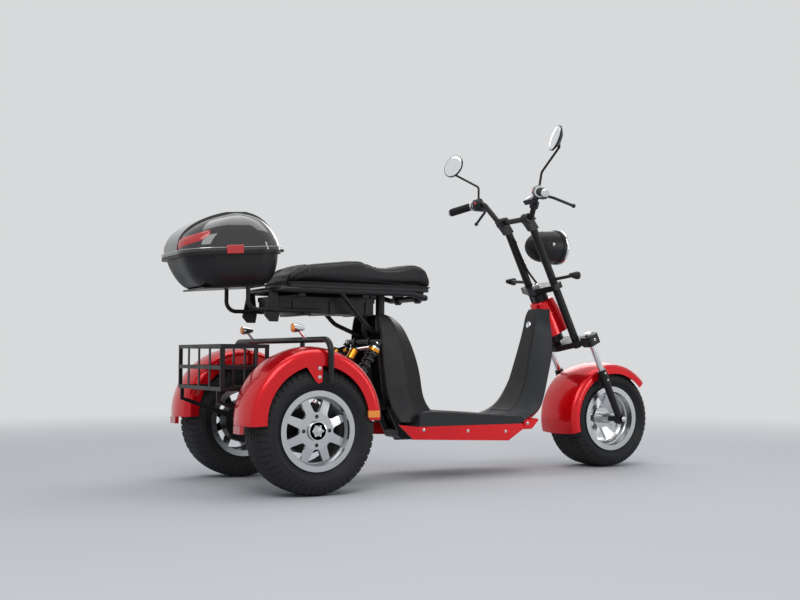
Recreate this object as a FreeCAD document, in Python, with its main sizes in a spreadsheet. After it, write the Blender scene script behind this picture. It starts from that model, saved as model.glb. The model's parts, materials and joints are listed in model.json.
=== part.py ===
import FreeCAD, Part
import math
import os

import Sketcher

# Electric tricycle with a low step-through footboard, two driven rear wheels under wide fenders,
# a fat front wheel in a raked fork, a sprung seat frame over the battery, and a rear top box.
# Lengths are in millimetres and angles in degrees.
# The working frame has its origin on the ground under the rear axle, X forward, Y left, Z up.
# Every sub-part is then placed back by origin_shift, so that the origin is the middle of the footprint.

SIZES = [
    # name, value, what it is
    ("wheelbase", 1602, "front axle ahead of the rear axle"),
    ("half_track", 348, "rear wheel's middle plane from the centre line"),
    ("origin_shift", 714, "middle of the footprint ahead of the rear axle"),
    ("contact_gap", 0.3, "gap between pieces that rest on each other"),
    # Wheels
    ("rim_bead_radius", 127, "bead seat of a ten inch rim"),
    ("rim_flange_radius", 142, "rim flange of a ten inch rim"),
    ("rim_barrel_wall", 7, "wall of the rim's barrel"),
    ("rim_flange_width", 8, "rim flange along the axle"),
    ("rear_tyre_radius", 227, "rear tyre's tread from its axle"),
    ("rear_tyre_half", 90, "rear tyre's half width"),
    ("rear_bead_half", 64, "rear rim's bead from its middle plane"),
    ("front_tyre_radius", 217, "front tyre's tread from its axle"),
    ("front_tyre_half", 111, "front tyre's half width"),
    ("front_bead_half", 88, "front rim's bead from its middle plane"),
    ("tyre_crown", 4, "drop of the tread from its middle to its edge"),
    ("tyre_shoulder", 14, "depth of a tyre's rounded shoulder"),
    ("hub_radius", 64, "rear wheel's bolt face"),
    ("cap_radius", 33, "rear wheel's centre cap"),
    ("lug_circle", 50, "rear wheel's bolt holes from the axle"),
    ("lug_radius", 7, "rear wheel's bolt hole"),
    ("rear_spoke_face", 56, "rear wheel's bolt face from its middle plane"),
    ("rear_window_out", 30, "half width of a rear wheel's window at the rim"),
    ("rear_window_in", 12, "half width of a rear wheel's window at the hub"),
    ("front_hub_radius", 24, "front wheel's hub tube"),
    ("front_hub_half", 100, "front wheel's hub tube from the middle plane"),
    ("front_window_out", 27, "half width of a front wheel's window at the rim"),
    ("front_window_in", 15, "half width of a front wheel's window at the hub"),
    ("axle_radius", 14, "rear spindle"),
    ("spindle_gap", 0.4, "running gap between a spindle and its hub"),
    ("front_axle_radius", 9, "front spindle"),
    # Fork and bars
    ("rake", 25.5, "lean of the fork from upright, in degrees"),
    ("axis_offset", 60, "steering axis behind the fork legs"),
    ("riser_offset", 30, "riser tubes behind the fork legs"),
    ("riser_half", 92, "riser tube's middle from the centre line"),
    ("riser_radius", 17, "riser tube"),
    ("leg_half", 152, "fork leg's middle from the centre line"),
    ("stanchion_radius", 13, "chromed fork tube"),
    ("slider_radius", 16, "black fork slider"),
    ("collar_radius", 20, "thick top of a fork slider"),
    ("slider_top", 433, "top of a fork slider above the ground"),
    ("collar_length", 62, "thick top of a fork slider along the fork"),
    ("crown_height", 566, "lower fork clamp above the ground, on the legs"),
    ("crown_depth", 26, "lower fork clamp's arm along the fork"),
    ("crown_block_depth", 45, "lower fork clamp's blocks along the fork"),
    ("crown_block_half", 32, "half width of a lower clamp's block"),
    ("yoke_height", 800, "upper fork clamp above the ground, on the risers"),
    ("yoke_depth", 26, "upper fork clamp along the fork"),
    ("riser_top", 1040, "top of the riser tubes above the ground"),
    ("head_radius", 34, "head tube"),
    ("stem_radius", 14, "steering stem in the head tube"),
    ("clamp_gap", 6, "gap between the head tube's ends and the fork clamps"),
    ("bar_radius", 12, "handlebar tube"),
    ("bar_rise", 46, "handlebar's middle above the riser tubes' tops"),
    ("bar_middle_half", 118, "straight middle of the handlebar from the centre line"),
    ("bar_bend", 45, "bend radius of the handlebar"),
    ("bar_end", 352, "end of the handlebar from the centre line"),
    ("grip_radius", 17, "grip"),
    ("grip_length", 118, "grip along the bar"),
    ("pod_radius", 25, "switch pod on the handlebar"),
    ("display_tilt", 52, "dash screen tilted back from upright, in degrees"),
    ("lever_reach", 140, "lever's tip ahead of the grip's end"),
    ("mirror_radius", 54, "mirror"),
    ("mirror_half", 386, "mirror's middle from the centre line"),
    ("mirror_rise", 292, "mirror's middle above the handlebar's middle"),
    ("mirror_turn", 17, "mirror turned in to the rider, in degrees"),
    ("lamp_radius", 76, "headlamp"),
    ("lamp_length", 175, "headlamp from its back to its rim"),
    ("lamp_rim", 22, "headlamp's chromed rim"),
    ("lamp_drop", 60, "headlamp's middle below the riser tubes' tops"),
    ("lamp_lead", 202, "headlamp's rim ahead of the riser tubes' tops"),
    ("signal_radius", 17, "turn signal"),
    # Frame
    ("backbone_radius", 32, "backbone tube"),
    ("backbone_z", 181.7, "backbone under the floor above the ground"),
    ("upright_radius", 18, "upright from the floor to the seat frame"),
    ("upright_half", 60, "upright's middle from the centre line"),
    ("upright_x", 440, "upright under the seat ahead of the rear axle"),
    ("rail_radius", 11, "seat rail tube"),
    ("rail_half", 142, "seat rail's middle from the centre line"),
    ("rail_height", 738, "seat rail above the ground"),
    ("rail_rear", -45, "rear end of the seat rails ahead of the rear axle"),
    ("brace_radius", 9, "brace from a seat rail to the upright"),
    ("seat_hinge_x", 600, "seat hinge ahead of the rear axle"),
    ("seat_hinge_drop", 14, "seat hinge below the seat rails"),
    ("seat_hinge_radius", 12, "front cross tube that the seat turns on"),
    ("shock_half", 128, "shock absorber's middle from the centre line"),
    ("shock_radius", 11, "shock absorber's body"),
    ("spring_radius", 25, "shock absorber's spring"),
    ("reservoir_radius", 17, "shock absorber's gas reservoir"),
    ("reservoir_length", 46, "shock absorber's gas reservoir along its axis"),
    ("drum_radius", 86, "rear brake drum"),
    # Bodywork
    ("board_half", 190, "footboard's half width"),
    ("board_low", 214, "footboard's underside"),
    ("board_rear_top", 273, "footboard's top at its rear end"),
    ("board_front_top", 243, "footboard's top at its front end"),
    ("mat_height", 2, "raised mat on the footboard"),
    ("mat_half", 150, "raised mat's half width"),
    ("skirt_wall", 4, "sheet of the side skirts"),
    ("shield_wall", 14, "depth of the leg shield's hollow moulding"),
    ("tower_drop", 83, "top of the seat tower below the seat rails"),
    ("tower_wall", 5, "wall of the seat tower"),
    ("battery_half", 98, "battery box's half width"),
    ("battery_length", 428, "battery box along the vehicle"),
    ("battery_depth", 64, "battery box's height"),
    ("battery_lid", 18, "battery box's lid"),
    # Seat
    ("seat_base_depth", 18, "seat's moulded base"),
    ("seat_half", 150, "seat's half width"),
    # Top box
    ("box_hinge_x", -6, "lid hinge ahead of the rear axle"),
    ("box_hinge_rise", 148.3, "lid hinge above the seat rails"),
    ("box_hinge_radius", 6, "lid hinge's knuckles"),
    ("box_tilt", 4.5, "top box leans back, in degrees"),
    ("box_wall", 3.5, "top box's wall"),
    ("box_rim", 6, "top box's rim beyond its walls"),
    ("spine_half", 74, "raised spine of the lid from the centre line"),
    # Fenders, hoop and basket
    ("fender_radius", 262, "rear fender's crown from its own middle"),
    ("fender_rise", 35, "rear fender's middle above the axle"),
    ("fender_shift", -8, "rear fender's middle ahead of the axle"),
    ("fender_half", 98, "rear fender's half width"),
    ("fender_lip", 67, "depth of a rear fender's side below its crown"),
    ("front_fender_radius", 252, "front fender's crown from the front axle"),
    ("front_fender_half", 121, "front fender's half width"),
    ("front_fender_lip", 52, "depth of the front fender's side below its crown"),
    ("fender_wall", 3, "sheet of the fenders"),
    ("fender_crown", 10, "drop of a fender's crown to its shoulder"),
    ("fender_shoulder", 28, "radius of a fender's rounded shoulder"),
    ("hoop_radius", 11, "fender hoop's tube"),
    ("hoop_x", 28, "fender hoop ahead of the rear axle"),
    ("hoop_height", 548, "fender hoop above the ground"),
    ("basket_half", 232, "basket's half width"),
    ("basket_rear", -292, "basket's rear face"),
    ("basket_front", -112, "basket's front face"),
    ("basket_floor", 364, "basket's floor above the ground"),
    ("basket_depth", 160, "basket's rim above its floor"),
    ("strap", 14, "basket's flat strap"),
    ("strap_wall", 4, "thickness of the basket's strap"),
]


class Dim:
    """A length that carries its own number and the text of its formula in the sheet."""

    def __init__(self, value, text):
        self.value = float(value)
        self.text = text

    def __float__(self):
        return self.value

    def __neg__(self):
        return Dim(-self.value, "-(" + self.text + ")")

    def __add__(self, other):
        return join(self, other, "+", float(self) + float(other))

    def __radd__(self, other):
        return join(other, self, "+", float(other) + float(self))

    def __sub__(self, other):
        return join(self, other, "-", float(self) - float(other))

    def __rsub__(self, other):
        return join(other, self, "-", float(other) - float(self))

    def __mul__(self, other):
        return join(self, other, "*", float(self) * float(other))

    def __truediv__(self, other):
        return join(self, other, "/", float(self) / float(other))


def formula(item):
    return item.text if isinstance(item, Dim) else repr(float(item))


def join(left, right, sign, value):
    return Dim(value, "(" + formula(left) + " " + sign + " " + formula(right) + ")")


doc = FreeCAD.newDocument("electric_tricycle")
sheet = doc.addObject("Spreadsheet::Sheet", "Sizes")
s = {}
n = {}
for row, (name, value, note) in enumerate(SIZES, start=1):
    sheet.set("A" + str(row), str(value))
    sheet.setAlias("A" + str(row), name)
    sheet.set("B" + str(row), note)
    s[name] = Dim(value, "Sizes." + name)
    n[name] = float(value)
doc.recompute()

made = []
V = FreeCAD.Vector
ALONG_Y = V(0, 1, 0)
UP = V(0, 0, 1)


def place(item, spot=(0, 0, 0), turn=None):
    """Puts a sub-part at its spot in the working frame and shifts it to the part's origin."""
    x = spot[0] - s["origin_shift"]
    base = V(float(x), float(spot[1]), float(spot[2]))
    item.Placement = FreeCAD.Placement(base, turn or FreeCAD.Rotation())
    item.setExpression("Placement.Base.x", x.text)
    for axis, value in (("y", spot[1]), ("z", spot[2])):
        if isinstance(value, Dim):
            item.setExpression("Placement.Base." + axis, value.text)
    made.append(item)


def shape_part(label, shape):
    """A sub-part whose shape is made with the modelling kernel's own functions."""
    item = doc.addObject("Part::Feature", label)
    item.Label = label
    item.Shape = shape
    place(item)
    return item


def new_body(label):
    body = doc.addObject("PartDesign::Body", label)
    body.Label = label
    return body


def plane_of(body, role):
    for feature in body.Origin.OriginFeatures:
        if feature.Role == role:
            return feature
    raise ValueError(role)


def hold(sketch, kind, edge, end, value):
    """One coordinate of a point, from the sheet where it is a size."""
    index = sketch.addConstraint(Sketcher.Constraint(kind, -1, 1, edge, end, float(value)))
    if isinstance(value, Dim):
        sketch.setExpression("Constraints[" + str(index) + "]", value.text)


def pin_point(sketch, edge, end, spot):
    """Holds one end of an edge at a spot whose numbers may come from the sheet."""
    hold(sketch, "DistanceX", edge, end, spot[0])
    hold(sketch, "DistanceY", edge, end, spot[1])


def flat(spot):
    return V(float(spot[0]), float(spot[1]), 0)


def new_sketch(body, role, name):
    sketch = body.newObject("Sketcher::SketchObject", name)
    sketch.AttachmentSupport = [(plane_of(body, role), "")]
    sketch.MapMode = "FlatFace"
    return sketch


def draw(body, role, name, start, steps):
    """A closed sketch. Each step is (end,) for a line or (via, end) for an arc."""
    sketch = new_sketch(body, role, name)
    here = start
    edges = []
    for step in steps:
        end = step[-1]
        first = 1
        if len(step) == 1:
            edge = sketch.addGeometry(Part.LineSegment(flat(here), flat(end)), False)
        else:
            arc = Part.Arc(flat(here), flat(step[0]), flat(end))
            edge = sketch.addGeometry(arc, False)
            begin = sketch.getPoint(edge, 1)
            if begin.distanceToPoint(flat(here)) > begin.distanceToPoint(flat(end)):
                first = 2
            dot = sketch.addGeometry(Part.Point(flat(step[0])), True)
            pin_point(sketch, dot, 1, step[0])
            sketch.addConstraint(Sketcher.Constraint("PointOnObject", dot, 1, edge))
        edges.append((edge, first, here))
        here = end
    for number, (edge, first, spot) in enumerate(edges):
        before, before_first, _ = edges[number - 1]
        sketch.addConstraint(Sketcher.Constraint("Coincident", before, 3 - before_first, edge, first))
        pin_point(sketch, edge, first, spot)
    return sketch


def draw_circle(body, role, name, centre, radius):
    sketch = new_sketch(body, role, name)
    edge = sketch.addGeometry(Part.Circle(flat(centre), V(0, 0, 1), float(radius)), False)
    pin_point(sketch, edge, 3, centre)
    index = sketch.addConstraint(Sketcher.Constraint("Radius", edge, float(radius)))
    sketch.setExpression("Constraints[" + str(index) + "]", radius.text)
    return sketch


def loop(points):
    """Steps of straight lines round a list of points, back to the first."""
    return points[0], [(spot,) for spot in points[1:] + points[:1]]


def revolve(body, name, sketch):
    turn = body.newObject("PartDesign::Revolution", name)
    turn.Profile = sketch
    turn.ReferenceAxis = (sketch, ["H_Axis"])
    turn.Angle = 360
    return turn


def ring_of_cuts(body, name, sketch, count):
    """A cut through the whole body, repeated evenly round the wheel's axle."""
    doc.recompute()
    cut = body.newObject("PartDesign::Pocket", name + "_cut")
    cut.Profile = sketch
    cut.Type = "ThroughAll"
    cut.Midplane = True
    pattern = body.newObject("PartDesign::PolarPattern", name + "_ring")
    pattern.Originals = [cut]
    pattern.Axis = (sketch, ["N_Axis"])
    pattern.Angle = 360
    pattern.Occurrences = count
    body.Tip = pattern


def point(spot):
    return V(float(spot[0]), float(spot[1]), float(spot[2]))


def bent_wire(points, bend):
    """Straight runs joined by tangent arcs of one bend radius, or less where a run is short."""
    spots = [point(spot) for spot in points]
    edges = []
    here = spots[0]
    for before, corner, after in zip(spots, spots[1:], spots[2:]):
        into = (corner - before).normalize()
        out = (after - corner).normalize()
        half = into.getAngle(out) / 2
        reach = bend * math.tan(half)
        reach = min(reach, 0.45 * (corner - before).Length, 0.45 * (after - corner).Length)
        start = corner - into * reach
        end = corner + out * reach
        middle = (out - into).normalize()
        radius = reach / math.tan(half)
        via = corner + middle * (radius / math.cos(half) - radius)
        edges.append(Part.LineSegment(here, start).toShape())
        edges.append(Part.Arc(start, via, end).toShape())
        here = end
    edges.append(Part.LineSegment(here, spots[-1]).toShape())
    return Part.Wire(edges)


def tube(points, radius, bend=60):
    """A round bar along a bent wire."""
    path = bent_wire(points, bend)
    spots = [point(spot) for spot in points]
    ring = Part.Circle(spots[0], (spots[1] - spots[0]).normalize(), radius).toShape()
    return path.makePipeShell([Part.Wire([ring])], True, False)


def rod(start, end, radius):
    start, end = point(start), point(end)
    return Part.makeCylinder(radius, (end - start).Length, start, end - start)


def cross_rod(x, z, half, radius):
    """A round bar across the vehicle."""
    return rod((x, -half, z), (x, half, z), radius)


def box(low, high):
    low, high = point(low), point(high)
    span = high - low
    return Part.makeBox(span.x, span.y, span.z, low)


def plate(points, y, thick):
    """An upright plate along the vehicle: an outline of (x, z) pairs, pushed both ways across."""
    spots = [V(x, y - thick / 2, z) for x, z in points]
    return Part.Face(Part.makePolygon(spots + spots[:1])).extrude(V(0, thick, 0))


def rounded(points, radii):
    """A closed wire of straight runs whose corners are rounded by arcs."""
    spots = [point(spot) for spot in points]
    bends = []
    for number, corner in enumerate(spots):
        into = (corner - spots[number - 1]).normalize()
        out = (spots[(number + 1) % len(spots)] - corner).normalize()
        half = into.getAngle(out) / 2
        reach = radii[number] * math.tan(half)
        bulge = (out - into).normalize() * radii[number] * (1 / math.cos(half) - 1)
        bends.append((corner - into * reach, corner + bulge, corner + out * reach))
    edges = []
    for number, (start, via, end) in enumerate(bends):
        following = bends[(number + 1) % len(bends)][0]
        edges.append(Part.Arc(start, via, end).toShape())
        edges.append(Part.LineSegment(end, following).toShape())
    return Part.Wire(edges)


def skin(sections):
    """A smooth solid through closed wires."""
    return Part.makeLoft(sections, True, False)


def prism(wire, push):
    return Part.Face(wire).extrude(push)


def sides(make):
    """The same shape for the left side and for the right side."""
    return [make(1), make(-1)]


def fused(shapes):
    whole = shapes[0].multiFuse(shapes[1:]) if len(shapes) > 1 else shapes[0]
    return whole.removeSplitter()


def without(shape, tools):
    for tool in tools:
        shape = shape.cut(tool)
    return shape


rake = math.radians(n["rake"])
lean = V(-math.sin(rake), 0, math.cos(rake))
ahead = V(math.cos(rake), 0, math.sin(rake))
front_axle = V(n["wheelbase"], 0, n["front_tyre_radius"])


def on_fork(offset, height, side=0.0):
    """A spot on a line beside the fork legs: offset ahead of them, at a height above the ground."""
    foot = front_axle + ahead * offset
    up = (height - foot.z) / lean.z
    spot = foot + lean * up
    return V(spot.x, side, spot.z)


def square_to_fork(centre, forward, side, up=0.0):
    """A spot from the steering axis, measured ahead, across and along the fork."""
    return centre + ahead * forward + V(0, side, 0) + lean * up


# Points on the steering axis in the planes of the two clamps
crown_centre = on_fork(0, n["crown_height"]) - ahead * n["axis_offset"]
yoke_centre = on_fork(-n["riser_offset"], n["yoke_height"]) - ahead * (n["axis_offset"] - n["riser_offset"])


# Wheels


def tyre(label, radius, half, bead_half, spot):
    """A low tyre: crowned tread, rounded shoulders, bulged sides and a bead inside the rim's flanges."""
    body = new_body(label)
    bead = s["rim_bead_radius"] + s["contact_gap"]
    foot = bead_half - s["contact_gap"]
    lip = s["rim_flange_radius"] + s["contact_gap"]
    shoulder = half * 0.86
    tread = half * 0.69
    edge = radius - s["tyre_shoulder"]
    waist = (lip + edge) / 2
    steps = [
        ((foot, bead),),
        ((foot, lip),),
        ((half, waist), (shoulder, edge)),
        ((tread, radius - s["tyre_crown"]),),
        ((0, radius), (-tread, radius - s["tyre_crown"])),
        ((-shoulder, edge),),
        ((-half, waist), (-foot, lip)),
        ((-foot, bead),),
    ]
    sketch = draw(body, "YZ_Plane", label + "_section", (-foot, bead), steps)
    revolve(body, label + "_turn", sketch)
    place(body, spot)


def window(body, label, inner, outer, half_in, half_out):
    """One opening between two spokes: round at the hub and following the rim outside."""
    start = (-half_in, inner + half_in * 0.6)
    steps = [((0, inner), (half_in, inner + half_in * 0.6)), ((half_out, outer - half_out * 0.14),),
             ((0, outer), (-half_out, outer - half_out * 0.14)), (start,)]
    return draw(body, "XZ_Plane", label + "_window", start, steps)


def rear_rim(label, spot, turn):
    """A cast rim: barrel with two flanges, a spoke plate, a bolt face with holes and a domed centre cap."""
    body = new_body(label)
    seat = s["rim_bead_radius"]
    inner = seat - s["rim_barrel_wall"]
    flange = s["rim_flange_radius"]
    half = s["rear_bead_half"]
    edge = half + s["rim_flange_width"]
    bore = s["axle_radius"] + s["spindle_gap"]
    hub = s["hub_radius"]
    face = s["rear_spoke_face"]
    cap = s["cap_radius"]
    points = [
        (-edge, inner), (face - 30, inner), (face - 22, inner - 7), (face - 14, hub), (face - 40, hub - 14),
        (face - 40, bore), (face + 4, bore), (face + 4, 0), (face + 13, 0), (face + 11, cap * 0.45),
        (face + 5, cap * 0.85), (face, cap), (face, hub), (face - 8, inner - 7), (face - 14, inner),
        (edge, inner + 2), (edge, flange), (half, flange), (half, seat), (-half, seat), (-half, flange),
        (-edge, flange),
    ]
    revolve(body, label + "_disc", draw(body, "YZ_Plane", label + "_section", *loop(points)))
    hole = window(body, label, hub, inner - 7, s["rear_window_in"], s["rear_window_out"])
    ring_of_cuts(body, label + "_window", hole, 8)
    lug = draw_circle(body, "XZ_Plane", label + "_lug", (0, s["lug_circle"]), s["lug_radius"])
    ring_of_cuts(body, label + "_lug", lug, 4)
    place(body, spot, turn)


def front_rim(label, spot):
    """A deep-dished rim: wide barrel with stepped lips, a coned disc with six windows, and a long hub."""
    body = new_body(label)
    seat = s["rim_bead_radius"]
    inner = seat - s["rim_barrel_wall"]
    flange = s["rim_flange_radius"]
    half = s["front_bead_half"]
    edge = half + s["rim_flange_width"]
    bore = s["front_axle_radius"] + s["spindle_gap"]
    hub = s["front_hub_radius"]
    end = s["front_hub_half"]
    step = half * 0.7
    dish = half * 0.35
    points = [
        (-edge, inner), (-step, inner), (-step + 5, inner - 6), (-dish - 7, inner - 7), (-dish, inner - 14),
        (-dish * 0.4, hub * 2), (-dish * 0.4, hub), (-end, hub), (-end, bore), (end, bore), (end, hub),
        (dish * 0.4, hub), (dish * 0.2, hub * 2), (-dish * 0.5, inner - 14), (-dish * 0.2, inner - 4),
        (dish, inner), (edge, inner), (edge, flange), (half, flange), (half, seat), (-half, seat),
        (-half, flange), (-edge, flange),
    ]
    revolve(body, label + "_disc", draw(body, "YZ_Plane", label + "_section", *loop(points)))
    hole = window(body, label, hub * 1.7, inner - 19, s["front_window_in"], s["front_window_out"])
    ring_of_cuts(body, label + "_window", hole, 6)
    place(body, spot)


rear_z = s["rear_tyre_radius"]
for name, side, turn in (("left", 1, None), ("right", -1, FreeCAD.Rotation(UP, 180))):
    spot = (0, s["half_track"] * side, rear_z)
    tyre("rear_tyre_" + name, s["rear_tyre_radius"], s["rear_tyre_half"], s["rear_bead_half"], spot)
    rear_rim("rear_rim_" + name, spot, turn)
front_spot = (s["wheelbase"], 0, s["front_tyre_radius"])
tyre("front_tyre", s["front_tyre_radius"], s["front_tyre_half"], s["front_bead_half"], front_spot)
front_rim("front_rim", front_spot)


# Fenders


def fender_edge(half, radius, lip, shoulder, crown):
    """One side of a fender's section from the left lip to the right lip: points and arc middles."""
    spring = radius - crown - s["fender_shoulder"]
    top = spring + shoulder * 0.96
    inset = shoulder * 0.72
    bulge = (shoulder * 0.2, spring + shoulder * 0.6)
    return [(-half, radius - lip), (-half, spring), (-half + bulge[0], bulge[1]), (-half + inset, top),
            (half - inset, top), (half - bulge[0], bulge[1]), (half, spring), (half, radius - lip)]


def fender(label, half, radius, lip, low, high, spot):
    """A strip with rounded shoulders, swept round the wheel between two angles from straight ahead."""
    body = new_body(label)
    wall = s["fender_wall"]
    out = fender_edge(half, radius, lip, s["fender_shoulder"], s["fender_crown"])
    inn = fender_edge(half - wall, radius, lip, s["fender_shoulder"] - wall, s["fender_crown"])
    steps = [(out[1],), (out[2], out[3]), ((0, radius), out[4]), (out[5], out[6]), (out[7],),
             (inn[7],), (inn[6],), (inn[5], inn[4]), ((0, radius - wall), inn[3]), (inn[2], inn[1]), (inn[0],),
             (out[0],)]
    sweep = revolve(body, label + "_sweep", draw(body, "YZ_Plane", label + "_section", out[0], steps))
    sweep.Angle = high - low
    place(body, spot, FreeCAD.Rotation(ALONG_Y, 90 - high))


REAR_FENDER_ANGLES = (0, 183)
FRONT_FENDER_ANGLES = (43, 195)
for name, side in (("left", 1), ("right", -1)):
    spot = (s["fender_shift"], s["half_track"] * side, rear_z + s["fender_rise"])
    fender("rear_fender_" + name, s["fender_half"], s["fender_radius"], s["fender_lip"],
           REAR_FENDER_ANGLES[0], REAR_FENDER_ANGLES[1], spot)
fender("front_fender", s["front_fender_half"], s["front_fender_radius"], s["front_fender_lip"],
       FRONT_FENDER_ANGLES[0], FRONT_FENDER_ANGLES[1], front_spot)


# Fork


def clamp_arm(centre, outline, depth, bend):
    """A flat arm square to the fork. The outline is (ahead, across) pairs of its left half, from the rear."""
    low = lean * (-depth / 2)
    left = [square_to_fork(centre, forward, across) + low for forward, across in outline]
    right = [square_to_fork(centre, forward, -across) + low for forward, across in reversed(outline)]
    wire = rounded(left + right, [bend] * (2 * len(outline)))
    return prism(wire, lean * depth)


leg_lead = n["axis_offset"]
riser_lead = n["axis_offset"] - n["riser_offset"]
CROWN_ARM = [(-38, 28), (8, n["riser_half"] + 20), (leg_lead - 26, n["leg_half"]), (leg_lead + 18, n["leg_half"])]
CROWN_BLOCK = [(leg_lead - n["crown_block_half"], n["leg_half"] - n["crown_block_half"]),
               (leg_lead - n["crown_block_half"], n["leg_half"] + n["crown_block_half"]),
               (leg_lead + n["crown_block_half"], n["leg_half"] + n["crown_block_half"]),
               (leg_lead + n["crown_block_half"], n["leg_half"] - n["crown_block_half"])]
YOKE_ARM = [(-34, 26), (riser_lead - 28, n["riser_half"] + 30), (riser_lead + 22, n["riser_half"] + 30)]


def crown_block(side):
    low = lean * (-n["crown_block_depth"] / 2)
    spots = [square_to_fork(crown_centre, forward, across * side) + low for forward, across in CROWN_BLOCK]
    return prism(rounded(spots, [15] * 4), lean * n["crown_block_depth"])


def riser(side):
    low = on_fork(-n["riser_offset"], n["crown_height"] - 32, n["riser_half"] * side)
    high = on_fork(-n["riser_offset"], n["riser_top"], n["riser_half"] * side)
    return rod(low, high, n["riser_radius"])


def leg(low, high, radius, side):
    return rod(on_fork(0, low, n["leg_half"] * side), on_fork(0, high, n["leg_half"] * side), radius)


stem = rod(crown_centre, yoke_centre, n["stem_radius"])
crown = clamp_arm(crown_centre, CROWN_ARM, n["crown_depth"], 9)
yoke = clamp_arm(yoke_centre, YOKE_ARM, n["yoke_depth"], 12)
lamp_z = n["riser_top"] - n["lamp_drop"]
lamp_rim_x = on_fork(-n["riser_offset"], n["riser_top"]).x + n["lamp_lead"]
ear_spot = on_fork(-n["riser_offset"], lamp_z - 62)
risers = []
for side in (1, -1):
    ear = rod(ear_spot + V(0, 68 * side, 0), ear_spot + V(0, n["riser_half"] * side, 0), 9)
    risers.append(riser(side).fuse(ear))
chrome_legs = sides(lambda side: leg(n["slider_top"] - 10, n["crown_height"] + 30, n["stanchion_radius"], side))
clamps = fused([stem, crown, yoke] + sides(crown_block))
shape_part("fork_clamps", without(clamps, risers + chrome_legs))
shape_part("riser_tubes", Part.makeCompound(risers))


def slider(side):
    """The black lower leg: a thick collar, a taper, a slim body and a lug on the axle."""
    top = n["slider_top"]
    neck = top - n["collar_length"]
    axle_z = n["front_tyre_radius"]
    y = n["leg_half"] * side
    collar = leg(neck, top, n["collar_radius"], side)
    taper = Part.makeCone(n["slider_radius"] + 0.5, n["collar_radius"], 18, on_fork(0, neck + 1, y) - lean * 18, lean)
    body = leg(axle_z, neck + 10, n["slider_radius"], side)
    lug = rod((n["wheelbase"], y - 15.5, axle_z), (n["wheelbase"], y + 15.5, axle_z), 23)
    nut = rod((n["wheelbase"], y, axle_z), (n["wheelbase"], y + 27 * side, axle_z), 12)
    hold_radius = n["front_fender_radius"] - (n["front_fender_lip"] + n["fender_crown"] + n["fender_shoulder"]) / 2
    pin = front_axle + lean * hold_radius
    fender_pin = rod(pin + V(0, (n["front_fender_half"] + n["contact_gap"]) * side, 0), pin + V(0, y, 0), 8)
    return [collar, taper, body, lug, nut, fender_pin]


spindle = cross_rod(n["wheelbase"], n["front_tyre_radius"], n["leg_half"], n["front_axle_radius"])
spacers = [rod((n["wheelbase"], (n["front_hub_half"] + 2) * side, n["front_tyre_radius"]),
               (n["wheelbase"], n["leg_half"] * side, n["front_tyre_radius"]), 13) for side in (1, -1)]
sliders = fused(slider(1) + slider(-1) + [spindle] + spacers)
shape_part("stanchions", Part.makeCompound([bar.cut(sliders) for bar in chrome_legs]))
shape_part("fork_sliders", sliders)


# Handlebar and what it carries

riser_head = on_fork(-n["riser_offset"], n["riser_top"])
bar_x = riser_head.x - 32
bar_z = n["riser_top"] + n["bar_rise"]


def bar_points(side):
    """The left or right half of the handlebar: flat in the middle, up to the bend, and back to the grip."""
    return [V(bar_x, 0, bar_z), V(bar_x, n["bar_middle_half"] * side, bar_z),
            V(bar_x - 32, (n["bar_middle_half"] + 87) * side, bar_z + 102),
            V(bar_x - 104, n["bar_end"] * side, bar_z + 70)]


def grip_run(side):
    """The end of the bar on one side and the direction along the grip towards the middle."""
    points = bar_points(side)
    return points[-1], (points[-2] - points[-1]).normalize()


def bar_tube(side, radius):
    return tube(bar_points(side), radius, n["bar_bend"])


def bar_clamp(side):
    """A two-piece clamp: a neck on the riser tube, a round saddle and cap round the bar."""
    y = n["riser_half"] * side
    neck = plate([(riser_head.x - 17, riser_head.z - 8), (riser_head.x + 16, riser_head.z + 8),
                  (bar_x + 22, bar_z - 4), (bar_x - 22, bar_z - 12)], y, 34)
    saddle = rod((bar_x, y - 23, bar_z), (bar_x, y + 23, bar_z), 23)
    lid = box((bar_x - 30, y - 21, bar_z - 3), (bar_x + 30, y + 21, bar_z + 3))
    return fused([neck, saddle, lid]).cut(risers[0] if side > 0 else risers[1])


handlebar = fused(sides(lambda side: bar_tube(side, n["bar_radius"])) + sides(bar_clamp))
shape_part("handlebar", handlebar)
bar_room = sides(lambda side: bar_tube(side, n["bar_radius"] + n["contact_gap"]))


def grip(side):
    end, run = grip_run(side)
    sleeve = rod(end - run * 6, end + run * n["grip_length"], n["grip_radius"])
    flange = rod(end + run * (n["grip_length"] - 6), end + run * n["grip_length"], n["grip_radius"] + 5)
    return fused([sleeve, flange]).cut(rod(end - run * n["contact_gap"], end + run * 200, n["bar_radius"] + 0.3))


shape_part("grips", Part.makeCompound(sides(grip)))


def lever(side):
    """A switch pod beside the grip, with a bent lever out in front of it."""
    end, run = grip_run(side)
    root = end + run * (n["grip_length"] + 22)
    pod = rod(root - run * 19, root + run * 19, n["pod_radius"])
    brow = box(root + V(-12, -13, -30), root + V(34, 13, -4))
    tip = end + V(n["lever_reach"], 8 * side, -44)
    blade = tube([root + V(18, 0, -14), root + V(58, 22 * side, -24), tip], 6, 30)
    knob = Part.makeSphere(9, tip)
    return fused([pod, brow, blade, knob])


def display():
    """The dash box on the right-hand rise of the bar, with its screen up to the rider."""
    points = bar_points(-1)
    run = (points[2] - points[1]).normalize()
    spot = points[1] + (points[2] - points[1]) * 0.5
    ring = rod(spot - run * 13, spot + run * 13, n["bar_radius"] + 7)
    casing = box((-10, -31, -20), (10, 31, 22))
    casing.rotate(V(0, 0, 0), ALONG_Y, n["display_tilt"])
    tilt = math.radians(n["display_tilt"])
    casing.translate(spot + V(-math.cos(tilt), 0, math.sin(tilt)) * (n["bar_radius"] + 13))
    return fused([ring, casing])


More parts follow.
